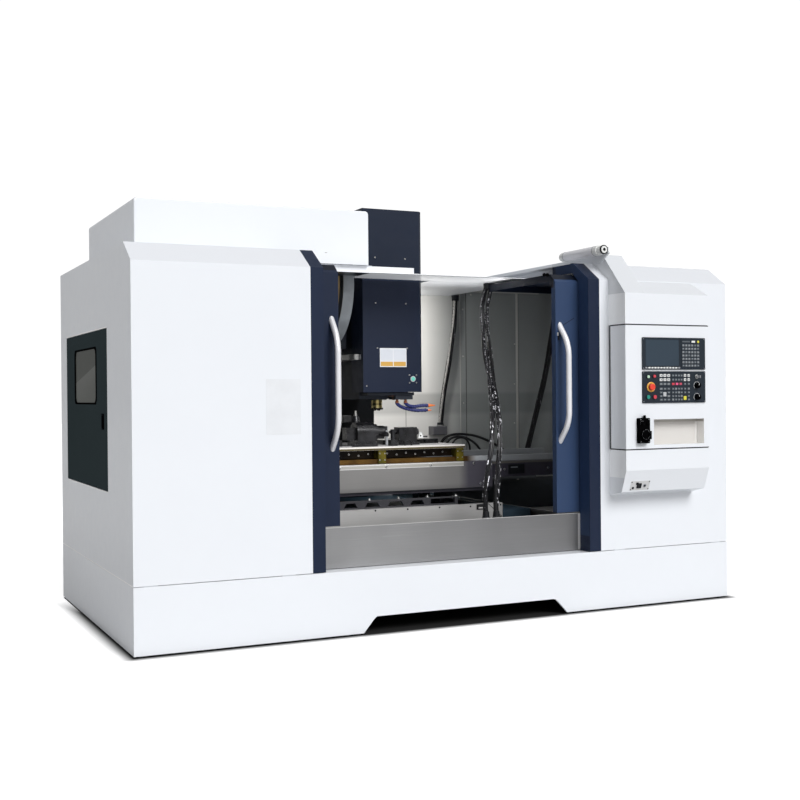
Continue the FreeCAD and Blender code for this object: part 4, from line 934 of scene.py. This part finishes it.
# control pendant: screen, keys, knob scales, port plate
YF = -198.0
pc = Piece("screen_face", "pendant", LCD)
pc.box(3437, 3718, -196.6, -194.8, 1656, 1836, LCD, 0.5)
pc.box(3722, 3753, -196.4, -194.8, 1656, 1836, PANELB, 0.5)
pc.done()
pc = Piece("screen_keys", "pendant", MIDKEY)
for i in range(12):
    x = 3432 + i * 25.2
    pc.box(x, x + 18, YF - 1.6, YF + 0.2, 1638.5, 1648.5, WHITEPL if i not in (0, 11) else GREYPL, 0.8, 1)
pc.box(3738, 3902, YF - 0.8, YF + 0.2, 1645, 1835, PANELB, 0.6)
for r_ in range(7):
    for c_ in range(6):
        x, z = 3745 + c_ * 25.6, 1651 + r_ * 23.2
        pc.box(x, x + 19, YF - 3.0, YF - 0.6, z, z + 15, MIDKEY if (r_ + c_) % 5 else DIMKEY, 1.4, 1)
        pc.box(x + 4, x + 13, YF - 3.4, YF - 2.9, z + 8.4, z + 10.6, KEYMARK, 0.0)
pc.box(3826, 3856, YF - 3.2, YF - 0.6, 1817, 1831, WHITEPL, 1.4)
pc.box(3746, 3812, YF - 2.2, YF - 0.6, 1819, 1829, DIMKEY, 1.0)
pc.cyl("y", 8.5, 3883, YF - 3.4, 1824, 3, YELLOWPL, 1.0, 16)
for x, z in ((3418, 1841), (3936, 1841), (3418, 1641), (3936, 1641)):
    pc.hexbolt("y", x, YF, z, 3.6, 1.5, GREYPL)
pc.done()
pc = Piece("panel_keys", "pendant", MIDKEY)
def key(x, z, w, h, mat, t=3.2):
    pc.box(x - w / 2, x + w / 2, YF - t, YF + 0.2, z - h / 2, z + h / 2, mat, 1.6, 1)
    if mat is WHITEPL:
        pc.box(x - w * 0.22, x + w * 0.22, YF - t - 0.4, YF - t + 0.1, z - h * 0.2, z + h * 0.24, KEYINK, 0.0)
    if mat in (DIMKEY, MIDKEY):
        pc.box(x - w * 0.28, x + w * 0.28, YF - t - 0.4, YF - t + 0.1, z - 1.2, z + 1.2, KEYMARK, 0.0)
for x in (3563, 3595, 3627):
    key(x, 1591, 24, 19, WHITEPL)
    key(x, 1562, 24, 19, WHITEPL)
    key(x, 1533, 24, 15, MIDKEY)
for x in (3664, 3689, 3714, 3737):
    key(x, 1591, 18, 17, DIMKEY)
    key(x, 1562, 18, 17, DIMKEY)
for x, m_ in ((3666, REDKEY), (3698, HOTPINK), (3730, PINKPL)):
    key(x, 1533, 22, 15, m_)
for x in (3767, 3799):
    key(x, 1591, 20, 19, WHITEPL)
    key(x, 1562, 20, 19, WHITEPL)
    key(x, 1533, 20, 15, DIMKEY)
for i, z in enumerate((1500, 1475, 1450, 1426)):
    for j, x in enumerate((3563, 3595, 3627, 3664, 3689, 3714, 3737, 3767, 3799)):
        if (z == 1475 and x == 3595) or (z == 1450 and x == 3595) or (z == 1426 and x == 3767) or (z == 1450 and x == 3767):
            continue
        key(x, z, 24 if x < 3640 else 18, 15, MIDKEY if (i * 3 + j) % 4 == 0 else DIMKEY)
key(3594, 1463, 26, 30, WHITEPL_D)
key(3767, 1436, 24, 26, YELLOWPL)
for kx, kz in ((3870, 1522), (3870, 1442)):
    for i in range(17):
        t = math.radians(-220 + i * 16.25)
        x, z = kx + 26 * math.cos(t), kz - 26 * math.sin(t)
        pc.box(x - 1.9, x + 1.9, YF - 0.9, YF + 0.2, z - 1.9, z + 1.9, WHITEPL, 0.3, 1)
ring(pc, "xz", (3871, 1583), (14, 14), 14, 3, YF - 1.4, YF + 0.2, BOLT, 6)
for x, z in ((3418, 1611), (3936, 1611), (3418, 1413), (3936, 1413)):
    pc.hexbolt("y", x, YF, z, 3.6, 1.5, GREYPL)
pc.done()
pc = Piece("stop_collar", "pendant", ORANGEPL)
ring(pc, "xz", (3477, 1513), (34, 34), 34, 11, YF - 5.2, YF - 0.1, ORANGEPL, 8)
pc.done()
pc = Piece("knob_marks", "feed_knob", WHITEPL)
pc.box(3868.6, 3871.4, YF - 27.0, YF - 25.6, 1524, 1538, WHITEPL, 0.2)
pc.done()
pc = Piece("knob_marks_rapid", "rapid_knob", WHITEPL)
pc.box(3868.6, 3871.4, YF - 27.0, YF - 25.6, 1444, 1458, WHITEPL, 0.2)
pc.done()
pc = Piece("handwheel_marks", "pendant", GREYPL)
for x, z in ((3372, 1294), (3440, 1294), (3372, 1143), (3440, 1143)):
    pc.hexbolt("y", x, -224, z, 3.4, 1.4, GREYPL)
for i in range(7):
    t = math.radians(200 - i * 36)
    pc.box(3384 + 15 * math.cos(t) - 1.2, 3384 + 15 * math.cos(t) + 1.2, -224.8, -223.9, 1270 + 15 * math.sin(t) - 1.2, 1270 + 15 * math.sin(t) + 1.2, GREYPL, 0.2, 1)
pc.done()
pc = Piece("dial_scale", "handwheel_dial" if "handwheel_dial" in frame["bodies"] else "dial", GREYPL)
for i in range(40):
    t = 2 * math.pi * i / 40
    x, z = 3405 + 32.5 * math.cos(t), 1193 + 32.5 * math.sin(t)
    pc.cyl("y", 0.9 if i % 5 else 1.5, x, -238.6, z, 0.9, GREYPL, 0.1, 6)
pc.done()
pc = Piece("pendant_seals", "frame", RUBBER)
pc.box(3278, 3977, -187, -14, 1936.4, 1939.6, RUBBER, 0.4)
pc.box(3278, 3977, -187, -14, 1087.4, 1090.6, RUBBER, 0.4)
pc.box(3277.6, 3977.4, -11.4, -0.4, 1092, 1935, RUBBER, 0.4)
pc.done()
def ports(q):
    q.box(3335, 3493, -153.6, -151.4, 811, 879, PLATE_G, 1.0)
    q.box(3386, 3424, -160, -153, 826, 862, BLACKP, 3)
    q.box(3378, 3398, -157, -153, 850, 868, BLACKP, 2)
    q.cyl("y", 13, 3452, -156.5, 843, 4, GREYPL, 1, 20)
    q.cyl("y", 8, 3452, -157.6, 843, 3, BLACKP, 0.5, 20)
    q.box(3350, 3366, -156, -153, 820, 836, BLACKP, 1)
    for x, z in ((3342, 818), (3486, 818), (3342, 872), (3486, 872)):
        q.cyl("y", 4.2, x, -155.4, z, 2.6, BLACKP, 0.5, 12)
pc = Piece("pendant_edge_seals", "pendant", SEALG)
for z0, z1 in ((1931.5, 1936), (1091, 1095.5)):
    pc.box(3275, 3979.5, -190.9, -186, z0, z1, SEALG, 0.3)
    pc.box(3274.2, 3276, -190, -12, z0, z1, SEALG, 0.3)
pc.box(3274.2, 3276, -21, -14, 1091, 1936, SEALG, 0.3)
pc.done()
pc = Piece("port_plate", "frame", PLATE_G)
pc.rot(ports, (3414, -152, 845), "X", 19.8)
pc.done()
pc = Piece("lamp_end", "lamp", RUBBER)
pc.cyl("y", 31.5, 3215, -40.5, 2452, 9, RUBBER, 1.0, 32)
pc.cyl("y", 24, 3215, -42.6, 2452, 3, WHITEPL, 1.0, 28)
pc.cyl("y", 11, 3215, -44.0, 2452, 3, RUBBER, 0.6, 20)
pc.done()
pc = Piece("lamp_lens", "lamp", WHITEPL)
pc.cyl("y", 34.0, 3215, 60, 2452, 360, LENS, 2.0, 40)
for y in (58, 418):
    ring(pc, "xz", (3215, 2452), (35, 35), 35, 3, y, y + 6, GREYPL, 8)
pc.done()

# service door: window seal, recessed latch
pc = Piece("side_window_seal", "service_door", RUBBER)
ring(pc, "yz", (1374, 1615), (390, 187), 46, (44, 12), 0.2, 3.4, JET, 8)
pc.done()
pc = Piece("side_latch", "service_door", BLACKP)
pc.box(8, 17.4, 764.5, 861.5, 1270.5, 1371.5, JET, 1)
pc.box(1.0, 9, 774, 852, 1282, 1360, JET, 3)
pc.done()

# front: bare plate on the left panel
pc = Piece("front_blank_plate", "frame", PLATE)
pc.box(801, 1020, -1.2, 0.2, 1243, 1575, PLATE_F, 0.5)
pc.done()

# top: screws
pts = [(x, y, 2753) for x in (260, 640, 1020, 1400, 1790) for y in (860, 2260)] + [(x, y, 2753) for x in (240, 1815) for y in (1210, 1560, 1910)]
dots("top_cover_screws", "frame", "z", pts, 7, 3, BOLT, 1)
pts = [(x, y, 2378) for x in (60, 1040, 1300) for y in (260, 560)] + [(x, 2170, 2378) for x in (60, 3300, 3700, 4240)] + [(4240, y, 2378) for y in (500, 1000, 1500)] \
    + [(3240, y, 2378) for y in (1000, 1500, 2000)] + [(60, y, 2378) for y in (1000, 1500, 2000)]
dots("roof_screws", "frame", "z", pts, 7, 3, BOLT, 1)
# rear: cabinet louvres, handle, hinges; wall joints; tank fittings
pc = Piece("cabinet_louvres", "cabinet_door", GREYP)
for zb in (420, 1650):
    for i in range(12):
        z = zb + i * 26
        pc.poly("yz", [(2824, z), (2831, z + 2), (2831, z + 5), (2824, z + 18)], 3330, 3660, GREYP, 0.6)
        pc.box(3336, 3654, 2823.6, 2824.6, z - 6, z + 0.5, RUBBER, 0.0)
pc.box(4060, 4096, 2824, 2834, 1120, 1290, BLACKP, 4)
pc.box(4068, 4088, 2834, 2850, 1140, 1270, BLACKP, 6)
pc.cyl("y", 9, 4078, 2832, 1105, 5, BOLT, 1, 20)
ring(pc, "xz", (3650, 1190), (480, 985), 12, 5, 2824, 2825.2, RUBBER, 4)
pc.done()
pc = Piece("cabinet_fan", "cabinet_door", BLACKP)
for cx in (3495, ):
    pc.box(cx - 92, cx + 92, 2824, 2831, 1130, 1314, BLACKP, 5)
    for k in range(5):
        ring(pc, "xz", (cx, 1222), (78 - k * 15, 78 - k * 15), 78 - k * 15, 4, 2831, 2834, GREYPL, 8)
    pc.box(cx - 80, cx + 80, 2831, 2833, 1219, 1225, GREYPL, 0.5)
    pc.box(cx - 3, cx + 3, 2831, 2833, 1142, 1302, GREYPL, 0.5)
pc.done()
pc = Piece("cabinet_switch", "cabinet_door", GREYPL)
pc.box(3800, 3880, 2824, 2830, 1440, 1520, GREYPL, 3)
pc.cyl("y", 26, 3840, 2830, 1480, 10, BLACKP, 2, 32)
pc.box(3833, 3847, 2838, 2856, 1452, 1508, REDPL, 4)
pc.done()
pc = Piece("cabinet_trim", "frame", BOLT)
for z in (420, 1190, 1960):
    pc.cyl("z", 9, 3152, 2815, z - 45, 90, BOLT, 1.5, 20)
for y in (2420, 2560, 2700):
    pc.cyl("x", 15, 4144, y, 300, 10, BLACKP, 1.5, 20)
for i in range(6):
    pc.cyl("z", 17, 3330 + i * 110, 2420, 2198, 22, BLACKP, 2, 6)
    pc.cyl("z", 13, 3330 + i * 110, 2420, 2218, 18, BLACKP, 3, 16)
pc.done()
pc = Piece("rear_wall_joints", "frame", RUBBER)
for x in (1100, 2790, 3120):
    pc.box(x - 1.5, x + 1.5, 2202.6, 2203.8, 420, 2360, RUBBER, 0.2)
for x in (60, 560, 1080, 1850, 2530, 2770):
    for z in (440, 1100, 1760, 2340):
        pc.hexbolt("y", x, 2203, z, 6, 3, BOLT, 1)
pc.done()
pc = Piece("tank_fittings", "frame", BLACKP)
pc.box(300, 800, 2380, 2760, 407, 412, GREYP, 3)
pc.box(860, 1350, 2380, 2760, 407, 412, GREYP, 3)
for x, y in ((320, 2400), (780, 2400), (320, 2740), (780, 2740), (880, 2400), (1330, 2400), (880, 2740), (1330, 2740)):
    pc.hexbolt("z", x, y, 412, 7, 4, BOLT, 1)
pc.cyl("z", 70, 1090, 2900, 405, 16, CASTD, 3, 36)
pc.cyl("z", 58, 1090, 2900, 420, 210, CASTB, 6, 36)
for k in range(20):
    t = 2 * math.pi * k / 20
    pc.box(1090 + 60 * math.cos(t) - 2, 1090 + 60 * math.cos(t) + 2, 2900 + 60 * math.sin(t) - 2, 2900 + 60 * math.sin(t) + 2, 440, 610, CASTB, 0.5, 1)
pc.cyl("z", 64, 1090, 2900, 628, 30, BLACKP, 8, 36)
pc.box(1140, 1200, 2870, 2930, 480, 560, BLACKP, 4)
pc.box(330, 350, 3058, 3060, 120, 330, BOLT, 1)
pc.cyl("y", 16, 620, 3052, 110, 8, BOLT, 2, 24)
pc.done()
pc = Piece("column_back", "frame", GREYP)
pc.box(1790, 2510, 3050, 3056, 900, 2500, GREYP, 3)
for z in (930, 1330, 1730, 2130, 2470):
    for x in (1815, 2485):
        pc.hexbolt("y", x, 3056, z, 7, 4, BOLT, 1)
pc.done()

# left side: a white strip over the plinth joint as a painted highlight
pc = Piece("plinth_highlight_strip", "frame", WHITEPL)
pc.box(0.4, 8, 24, 2290, 392.2, 395.8, PLINTH_HIGHLIGHT, 0.5)
pc.done()

# fixtures on the table
pc = Piece("fixture_bits", "table", BOLT)
pc.box(1792, 1860, 1180, 1250, 1277, 1330, TOOLD, 5)
pc.cyl("z", 34, 1905, 1215, 1277, 46, TOOLD, 4, 32, 24)
pc.cyl("z", 13, 1905, 1215, 1322, 40, BOLT, 2, 20, 8)
pc.box(1985, 2010, 1170, 1196, 1107, 1250, BLACKP, 3)
pc.box(2052, 2066, 1150, 1172, 1180, 1250, GREYPL, 2)
pc.box(2152, 2182, 1150, 1190, 1107, 1152, PLATE_G, 3)
for x, z in ((2286, 1216), (2330, 1216), (2372, 1216)):
    pc.cyl("y", 5, x, 1246, z, 6, BOLT, 1, 12)
pc.box(2290, 2350, 1240, 1250, 1190, 1202, KEYMARK, 1)
pc.cyl("z", 9, 1973, 1184, 1215, 62, BOLT, 2, 18)
pc.cyl("z", 10, 2139, 1182, 1107, 132, GREYPL, 2, 18)
pc.poly("xz", [(2400, 1150), (2446, 1150), (2428, 1192), (2412, 1192)], 1186, 1214, WHITEPL, 2)
pc.cyl("y", 6, 2420, 1184, 1168, 3, BLACKP, 0.5, 14)
pc.box(2440, 2480, 1190, 1210, 1156, 1166, TOOLD, 2)
for x in (2210, 2262):
    pc.cyl("z", 7, x, 1020, 1107, 26, TOOLD, 1, 12)
    pc.cyl("z", 15, x, 1020, 1131, 9, TOOLD, 2, 6)
pc.box(1800, 1990, 1010, 1040, 1107, 1125, TOOLD, 2)
pc.box(1500, 1610, 1000, 1080, 1107, 1140, GREYPL, 4)
pc.box(1640, 1760, 1120, 1260, 1107, 1150, TOOLD, 4)
pc.done()
# ------------------------------------------------------------------ cords
def route(name, rad, pts, mat, sides=5):
    cu = bpy.data.curves.new(name, "CURVE")
    cu.dimensions = "3D"
    sp = cu.splines.new("NURBS")
    sp.points.add(len(pts) - 1)
    for q, p in zip(sp.points, pts):
        q.co = (*P(*p), 1.0)
    sp.order_u = 3
    sp.use_endpoint_u = True
    sp.resolution_u = 10
    o = bpy.data.objects.new(name, cu)
    bpy.context.scene.collection.objects.link(o)
    bpy.context.view_layer.update()
    me = bpy.data.meshes.new_from_object(o)
    line = [v.co.copy() for v in me.vertices]
    bpy.data.meshes.remove(me)
    cu.bevel_depth = rad / 1000.0
    cu.bevel_resolution = sides
    cu.use_fill_caps = True
    cu.materials.append(mat)
    return o, line


def length(line):
    return sum((b - a).length for a, b in zip(line, line[1:]))


def frames_along(line):
    """Points with a steady pair of side directions, and the distance along."""
    res = []
    t = (line[1] - line[0]).normalized()
    n = t.cross(Vector((0, 0, 1)) if abs(t.z) < 0.9 else Vector((1, 0, 0))).normalized()
    s = 0.0
    for i, p in enumerate(line):
        t = (line[min(i + 1, len(line) - 1)] - line[max(i - 1, 0)]).normalized()
        n = (n - t * n.dot(t)).normalized()
        if i:
            s += (p - line[i - 1]).length
        res.append((p, t, n, t.cross(n), s))
    return res


def at(fr, s):
    for a, b in zip(fr, fr[1:]):
        if s <= b[4]:
            k = (s - a[4]) / max(b[4] - a[4], 1e-9)
            return tuple(a[j].lerp(b[j], k) for j in range(4))
    return fr[-1][:4]


def spiral(name, line, rad, pitch, width, thick, body, mat, s0=0.02, s1=None, step=0.14, slot="black_rubber"):
    """A flat spiral wrap round a cord, following its own line."""
    fr = frames_along(line)
    L = fr[-1][4]
    s1 = L - 0.02 if s1 is None else s1
    bm = bmesh.new()
    rings = []
    n = int((s1 - s0) / pitch / step * 1.0)
    for i in range(n + 1):
        s = s0 + (s1 - s0) * i / n
        a = 2 * math.pi * (s - s0) / pitch
        row = []
        for ds, rr in ((-0.5, rad), (-0.32, rad + thick), (0.32, rad + thick), (0.5, rad)):
            p, t, nn, bb = at(fr, min(max(s + ds * width, 0.0), L))
            row.append(bm.verts.new(p + (nn * math.cos(a) + bb * math.sin(a)) * rr))
        rings.append(row)
    for a, b in zip(rings, rings[1:]):
        for k in range(3):
            bm.faces.new([a[k], b[k], b[k + 1], a[k + 1]])
        bm.faces.new([a[3], b[3], b[0], a[0]])
    bmesh.ops.recalc_face_normals(bm, faces=bm.faces[:])
    me = bpy.data.meshes.new(name)
    bm.to_mesh(me)
    bm.free()
    for f in me.polygons:
        f.use_smooth = True
    me.materials.append(mat)
    o = bpy.data.objects.new(name, me)
    bpy.context.scene.collection.objects.link(o)
    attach(o, body)
    return o


SHEATH = plastic("cable_sheath", (0.008, 0.008, 0.009), 0.36, 260, 0.2, 0.2)


def strand_mat(name, col, hi, lo=0.62, rough=0.3, size=26.0):
    """Glossy strand sleeve with light patches as painted glints."""
    m = Mat(name, col, rough, Coat_Weight=0.12, Coat_Roughness=0.25, Specular_IOR_Level=0.3)
    n = m.noise(size, 3.0, 0.6, m.obj((1, 1, 0.5)))
    w = m.noise(420.0, 2.0, 0.5)
    m.to("Base Color", m.mix(m.rng(n, 0, 1, lo, lo + 0.06), col, hi))
    m.to("Roughness", m.rng(w, rough - 0.08, rough + 0.1, 0.3, 0.7))
    m.bump(w, 0.35, 0.0006)
    return m.m


def braid_mat(name):
    m = Mat(name, (0.35, 0.34, 0.33), 0.45, 0.2)
    s = m.xyz()
    a = m.math("SINE", m.math("MULTIPLY_ADD", s[0], 700.0, m.math("MULTIPLY", s[2], 260.0)))
    b = m.math("SINE", m.math("MULTIPLY_ADD", s[0], -700.0, m.math("MULTIPLY", s[2], 260.0)))
    q = m.math("MAXIMUM", a, b)
    n = m.noise(22.0, 3.0, 0.6)
    c = m.mix(m.rng(q, 0, 1, -0.1, 0.8), (0.10, 0.10, 0.10), (0.46, 0.45, 0.43))
    m.to("Base Color", m.mix(m.rng(n, 0, 0.6, 0.5, 0.75), c, (0.12, 0.12, 0.12)))
    m.to("Roughness", m.rng(n, 0.36, 0.55, 0.3, 0.7))
    m.bump(q, 0.6, 0.001)
    return m.m


STR_A = strand_mat("cable_strand_gloss", (0.006, 0.006, 0.008), (0.62, 0.62, 0.66), 0.575, 0.24, 58.0)
GLINT = strand_mat("cable_cover_glint", (0.008, 0.008, 0.009), (0.56, 0.56, 0.59), 0.53, 0.3, 75.0)
STR_B = strand_mat("cable_strand_dark", (0.005, 0.005, 0.006), (0.12, 0.12, 0.13), 0.66)
BRAID = braid_mat("braided_sleeve")


def strands(name, line, spec, body, sides=8):
    """Strands laid along a cord's own line: (offset radius, strand radius, phase, turns, wobble, material) in mm."""
    fr = frames_along(line)
    L = fr[-1][4]
    bm = bmesh.new()
    mats = []
    n = max(24, int(L / 0.012))
    for (ro, rs, ph, turns, wob, mat) in spec:
        if mat not in mats:
            mats.append(mat)
        mi = mats.index(mat)
        rows = []
        for i in range(n + 1):
            s = L * i / n
            k = s / L
            p, t, nn, bb = at(fr, s)
            ease = min(1.0, 8.0 * k, 8.0 * (1 - k))
            a = ph + 2 * math.pi * turns * k + 0.5 * math.sin(9.0 * k + ph * 2.0)
            off = (ro + wob * math.sin(7.0 * k * math.pi + ph * 3.1) * ease) / 1000.0
            c = p + (nn * math.cos(a) + bb * math.sin(a)) * off
            rows.append([bm.verts.new(c + (nn * math.cos(2 * math.pi * q / sides) + bb * math.sin(2 * math.pi * q / sides)) * rs / 1000.0) for q in range(sides)])
        for a, b in zip(rows, rows[1:]):
            for q in range(sides):
                f = bm.faces.new([a[q], a[(q + 1) % sides], b[(q + 1) % sides], b[q]])
                f.material_index = mi
                f.smooth = True
        for row in (list(reversed(rows[0])), rows[-1]):
            f = bm.faces.new(row)
            f.material_index = mi
    bmesh.ops.recalc_face_normals(bm, faces=bm.faces[:])
    me = bpy.data.meshes.new(name)
    for m in mats:
        me.materials.append(m)
    bm.to_mesh(me)
    bm.free()
    o = bpy.data.objects.new(name, me)
    bpy.context.scene.collection.objects.link(o)
    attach(o, body)
    return o


CORDS = {
    "cable_bundle_rear": (25, [(3237, 2140, 2312), (3225, 2130, 2121), (3199, 2145, 1893), (3150, 2130, 1664), (3110, 2142, 1444), (3082, 2136, 1220)]),
    "cable_bundle_front_a": (20, [(2932, 1068, 2304), (2888, 1060, 2190), (2826, 965, 2085), (2763, 845, 1990), (2711, 740, 1829), (2666, 600, 1631), (2604, 440, 1419), (2541, 320, 1228), (2486, 270, 1027), (2451, 265, 859), (2444, 268, 740), (2447, 262, 644)]),
    "cable_bundle_front_b": (20, [(2976, 1068, 2304), (2940, 1060, 2190), (2885, 995, 2093), (2815, 880, 1997), (2756, 740, 1829), (2721, 640, 1632), (2650, 450, 1419), (2602, 330, 1213), (2560, 275, 1025), (2537, 265, 856), (2526, 268, 740), (2528, 262, 644)]),
    "hose_right": (22, [(4226, 2105, 2372), (4216, 2100, 2200), (4172, 2120, 1900), (4108, 2105, 1630), (4044, 2125, 1375), (3966, 2110, 1140), (3908, 2120, 931), (3898, 2130, 803)]),
    "hose_arc_a": (11, [(3078, 2150, 986), (3080, 2146, 1055), (3122, 2134, 1112), (3195, 2118, 1138), (3290, 2110, 1137), (3420, 2122, 1120), (3560, 2112, 1064), (3700, 2122, 988), (3800, 2112, 905), (3836, 2120, 806)]),
    "hose_arc_b": (10, [(3108, 2110, 986), (3110, 2106, 1045), (3150, 2098, 1102), (3225, 2098, 1122), (3318, 2098, 1104), (3412, 2092, 1044), (3474, 2098, 954), (3500, 2106, 870), (3502, 2110, 802)]),
    "hose_arc_c": (8, [(3150, 2074, 986), (3150, 2070, 1057), (3203, 2066, 1110), (3277, 2066, 1110), (3328, 2072, 1054), (3334, 2082, 965), (3338, 2092, 880), (3340, 2100, 802)]),
}
LAY = {
    "cable_bundle_rear": (0.30, [(7, 11.0, 2.02, 0.0, 0.5, BRAID), (15, 7.8, -1.12, 0.0, 0.8, STR_B), (18.5, 2.8, 2.3, 0.0, 0.5, STR_B), (10, 3.6, -0.5, 0.3, 1.0, STR_B)]),
    "cable_bundle_front_a": (0.42, [(11.5, 7.5, 0.0, 1.6, 0.8, STR_A), (12.0, 6.6, 1.7, 1.6, 1.0, STR_B), (11.8, 6.0, 3.2, 1.6, 1.2, STR_A), (12.2, 6.6, 4.7, 1.6, 0.9, STR_B), (17.6, 1.5, 0.3, 0.25, 1.8, GLINT), (17.0, 1.2, -0.6, -0.3, 2.4, GLINT)]),
    "cable_bundle_front_b": (0.42, [(11.5, 7.5, 0.6, -1.3, 0.8, STR_A), (12.0, 6.6, 2.3, -1.3, 1.0, STR_B), (11.8, 6.0, 3.9, -1.3, 1.2, STR_B), (12.2, 6.6, 5.3, -1.3, 0.9, STR_A), (17.6, 1.5, 0.1, -0.25, 1.8, GLINT), (17.0, 1.2, 0.9, 0.3, 2.4, GLINT)]),
    "hose_right": (0.30, [(13.2, 12.4, 2.02, 0.0, 0.0, STR_B), (13.2, 12.4, -1.12, 0.0, 0.0, STR_B)]),
}
for cname, (rad, pts) in CORDS.items():
    k_ = LAY[cname][0] if cname in LAY else 1.0
    o, line = route("cord_" + cname, rad * k_, pts, SHEATH)
    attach(o, "frame")
    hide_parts(cname)
    if cname in LAY:
        strands("strands_" + cname, line, LAY[cname][1], "frame")


# ------------------------------------------------------------------ floor, light
def stage():
    me = bpy.data.meshes.new("studio_floor")
    S = 60.0
    me.from_pydata([(-S, -S, 0), (S, -S, 0), (S, S, 0), (-S, S, 0)], [], [(0, 1, 2, 3)])
    o = bpy.data.objects.new("studio_floor", me)
    bpy.context.scene.collection.objects.link(o)
    m = Mat("pale_floor", (0.60, 0.60, 0.60), 0.9)
    s = m.xyz()
    ax = m.math("MAXIMUM", m.math("SUBTRACT", m.math("ABSOLUTE", s[0]), 2.150), 0.0)
    ay = m.math("MAXIMUM", m.math("SUBTRACT", m.math("ABSOLUTE", m.math("SUBTRACT", s[1], -0.3675)), 1.1515), 0.0)
    dist = m.math("SQRT", m.math("ADD", m.math("MULTIPLY", ax, ax), m.math("MULTIPLY", ay, ay)))
    near = m.rng(dist, 0.0, 1.0, 0.0, 0.060)
    # the pool of shade fades out toward the rear of the two ends
    out = m.math("GREATER_THAN", dist, 0.0005)
    fade = m.math("MULTIPLY", out, m.rng(s[1], 0.0, 1.0, 0.05, 0.62))
    near = m.math("MAXIMUM", near, fade)
    # painted contact shadow: the floor colour near black under the footprint, fading out within 60 mm of it and toward
    # the rear of the ends; the camera-only emission is weaker there too
    m.to("Base Color", m.mix(near, (0.03, 0.03, 0.03), m.mix(m.noise(0.8, 3.0), (0.595, 0.595, 0.60), (0.61, 0.61, 0.61))))
    m.set("Specular IOR Level", 0.0)
    m.set("Emission Color", (1.0, 1.0, 1.0, 1.0))
    seen = m.node("ShaderNodeLightPath").outputs["Is Camera Ray"]
    m.to("Emission Strength", m.math("MULTIPLY", seen, m.math("MULTIPLY", m.math("MAXIMUM", m.math("POWER", m.rng(dist, 0.0, 1.0, 0.0, 0.10), 1.5), fade), 0.75)))
    me.materials.append(m.m)

    w = bpy.data.worlds.new("studio")
    bpy.context.scene.world = w
    w.use_nodes = True
    t = w.node_tree
    bg = t.nodes["Background"]
    bg.inputs["Color"].default_value = (1.0, 1.0, 1.0, 1)
    bg.inputs["Strength"].default_value = 0.455
    bg2 = t.nodes.new("ShaderNodeBackground")
    bg2.inputs["Color"].default_value = (1, 1, 1, 1)
    bg2.inputs["Strength"].default_value = 1.05
    lp = t.nodes.new("ShaderNodeLightPath")
    mx = t.nodes.new("ShaderNodeMixShader")
    t.links.new(lp.outputs["Is Camera Ray"], mx.inputs[0])
    t.links.new(bg.outputs[0], mx.inputs[1])
    t.links.new(bg2.outputs[0], mx.inputs[2])
    t.links.new(mx.outputs[0], t.nodes["World Output"].inputs["Surface"])

    def area(name, loc, aim, size, power, col=(1, 1, 1), spread=math.pi, glossy=False):
        L = bpy.data.lights.new(name, "AREA")
        L.shape = "RECTANGLE"
        L.size, L.size_y = size
        L.energy = power
        L.color = col
        L.spread = spread
        o = bpy.data.objects.new(name, L)
        bpy.context.scene.collection.objects.link(o)
        o.location = loc
        o.rotation_euler = (Vector(aim) - Vector(loc)).to_track_quat("-Z", "Y").to_euler()
        o.visible_camera = False
        o.visible_glossy = glossy
        return o

    def sun(name, vec, strength, angle, col=(1, 1, 1)):
        L = bpy.data.lights.new(name, "SUN")
        L.energy = strength
        L.angle = math.radians(angle)
        L.color = col
        o = bpy.data.objects.new(name, L)
        bpy.context.scene.collection.objects.link(o)
        o.rotation_euler = Vector(vec).to_track_quat("-Z", "Y").to_euler()
        return o

    sun("key", (-0.15, 0.80, -0.62), 2.42, 30, (1.0, 1.0, 1.0))
    area("doorway_fill", P(1940, 300, 1500), P(1940, 2310, 1250), (1.2, 1.3), 9.0)
    sun("side_soft", (0.92, 0.28, -0.22), 0.16, 70)
    area("inner_lamp", P(2520, 1640, 2250), P(2500, 2200, 1500), (0.30, 0.20), 12.0, (1.0, 0.985, 0.95))
    area("low_lamp", P(2470, 1560, 1240), P(2480, 2200, 1500), (0.30, 0.25), 0.7, (1.0, 0.985, 0.95))
    area("roof_glow", P(2700, 1000, 1850), P(2700, 1060, 2312), (0.70, 0.50), 1.5, (1.0, 0.99, 0.97), math.radians(100))
    area("roof_glow_right", P(3020, 640, 1980), P(3000, 660, 2312), (0.40, 0.30), 1.6, (1.0, 0.99, 0.97), math.radians(110))


stage()
bpy.context.scene.view_settings.view_transform = "Standard"
bpy.context.scene.view_settings.look = "None"

bpy.context.view_layer.update()
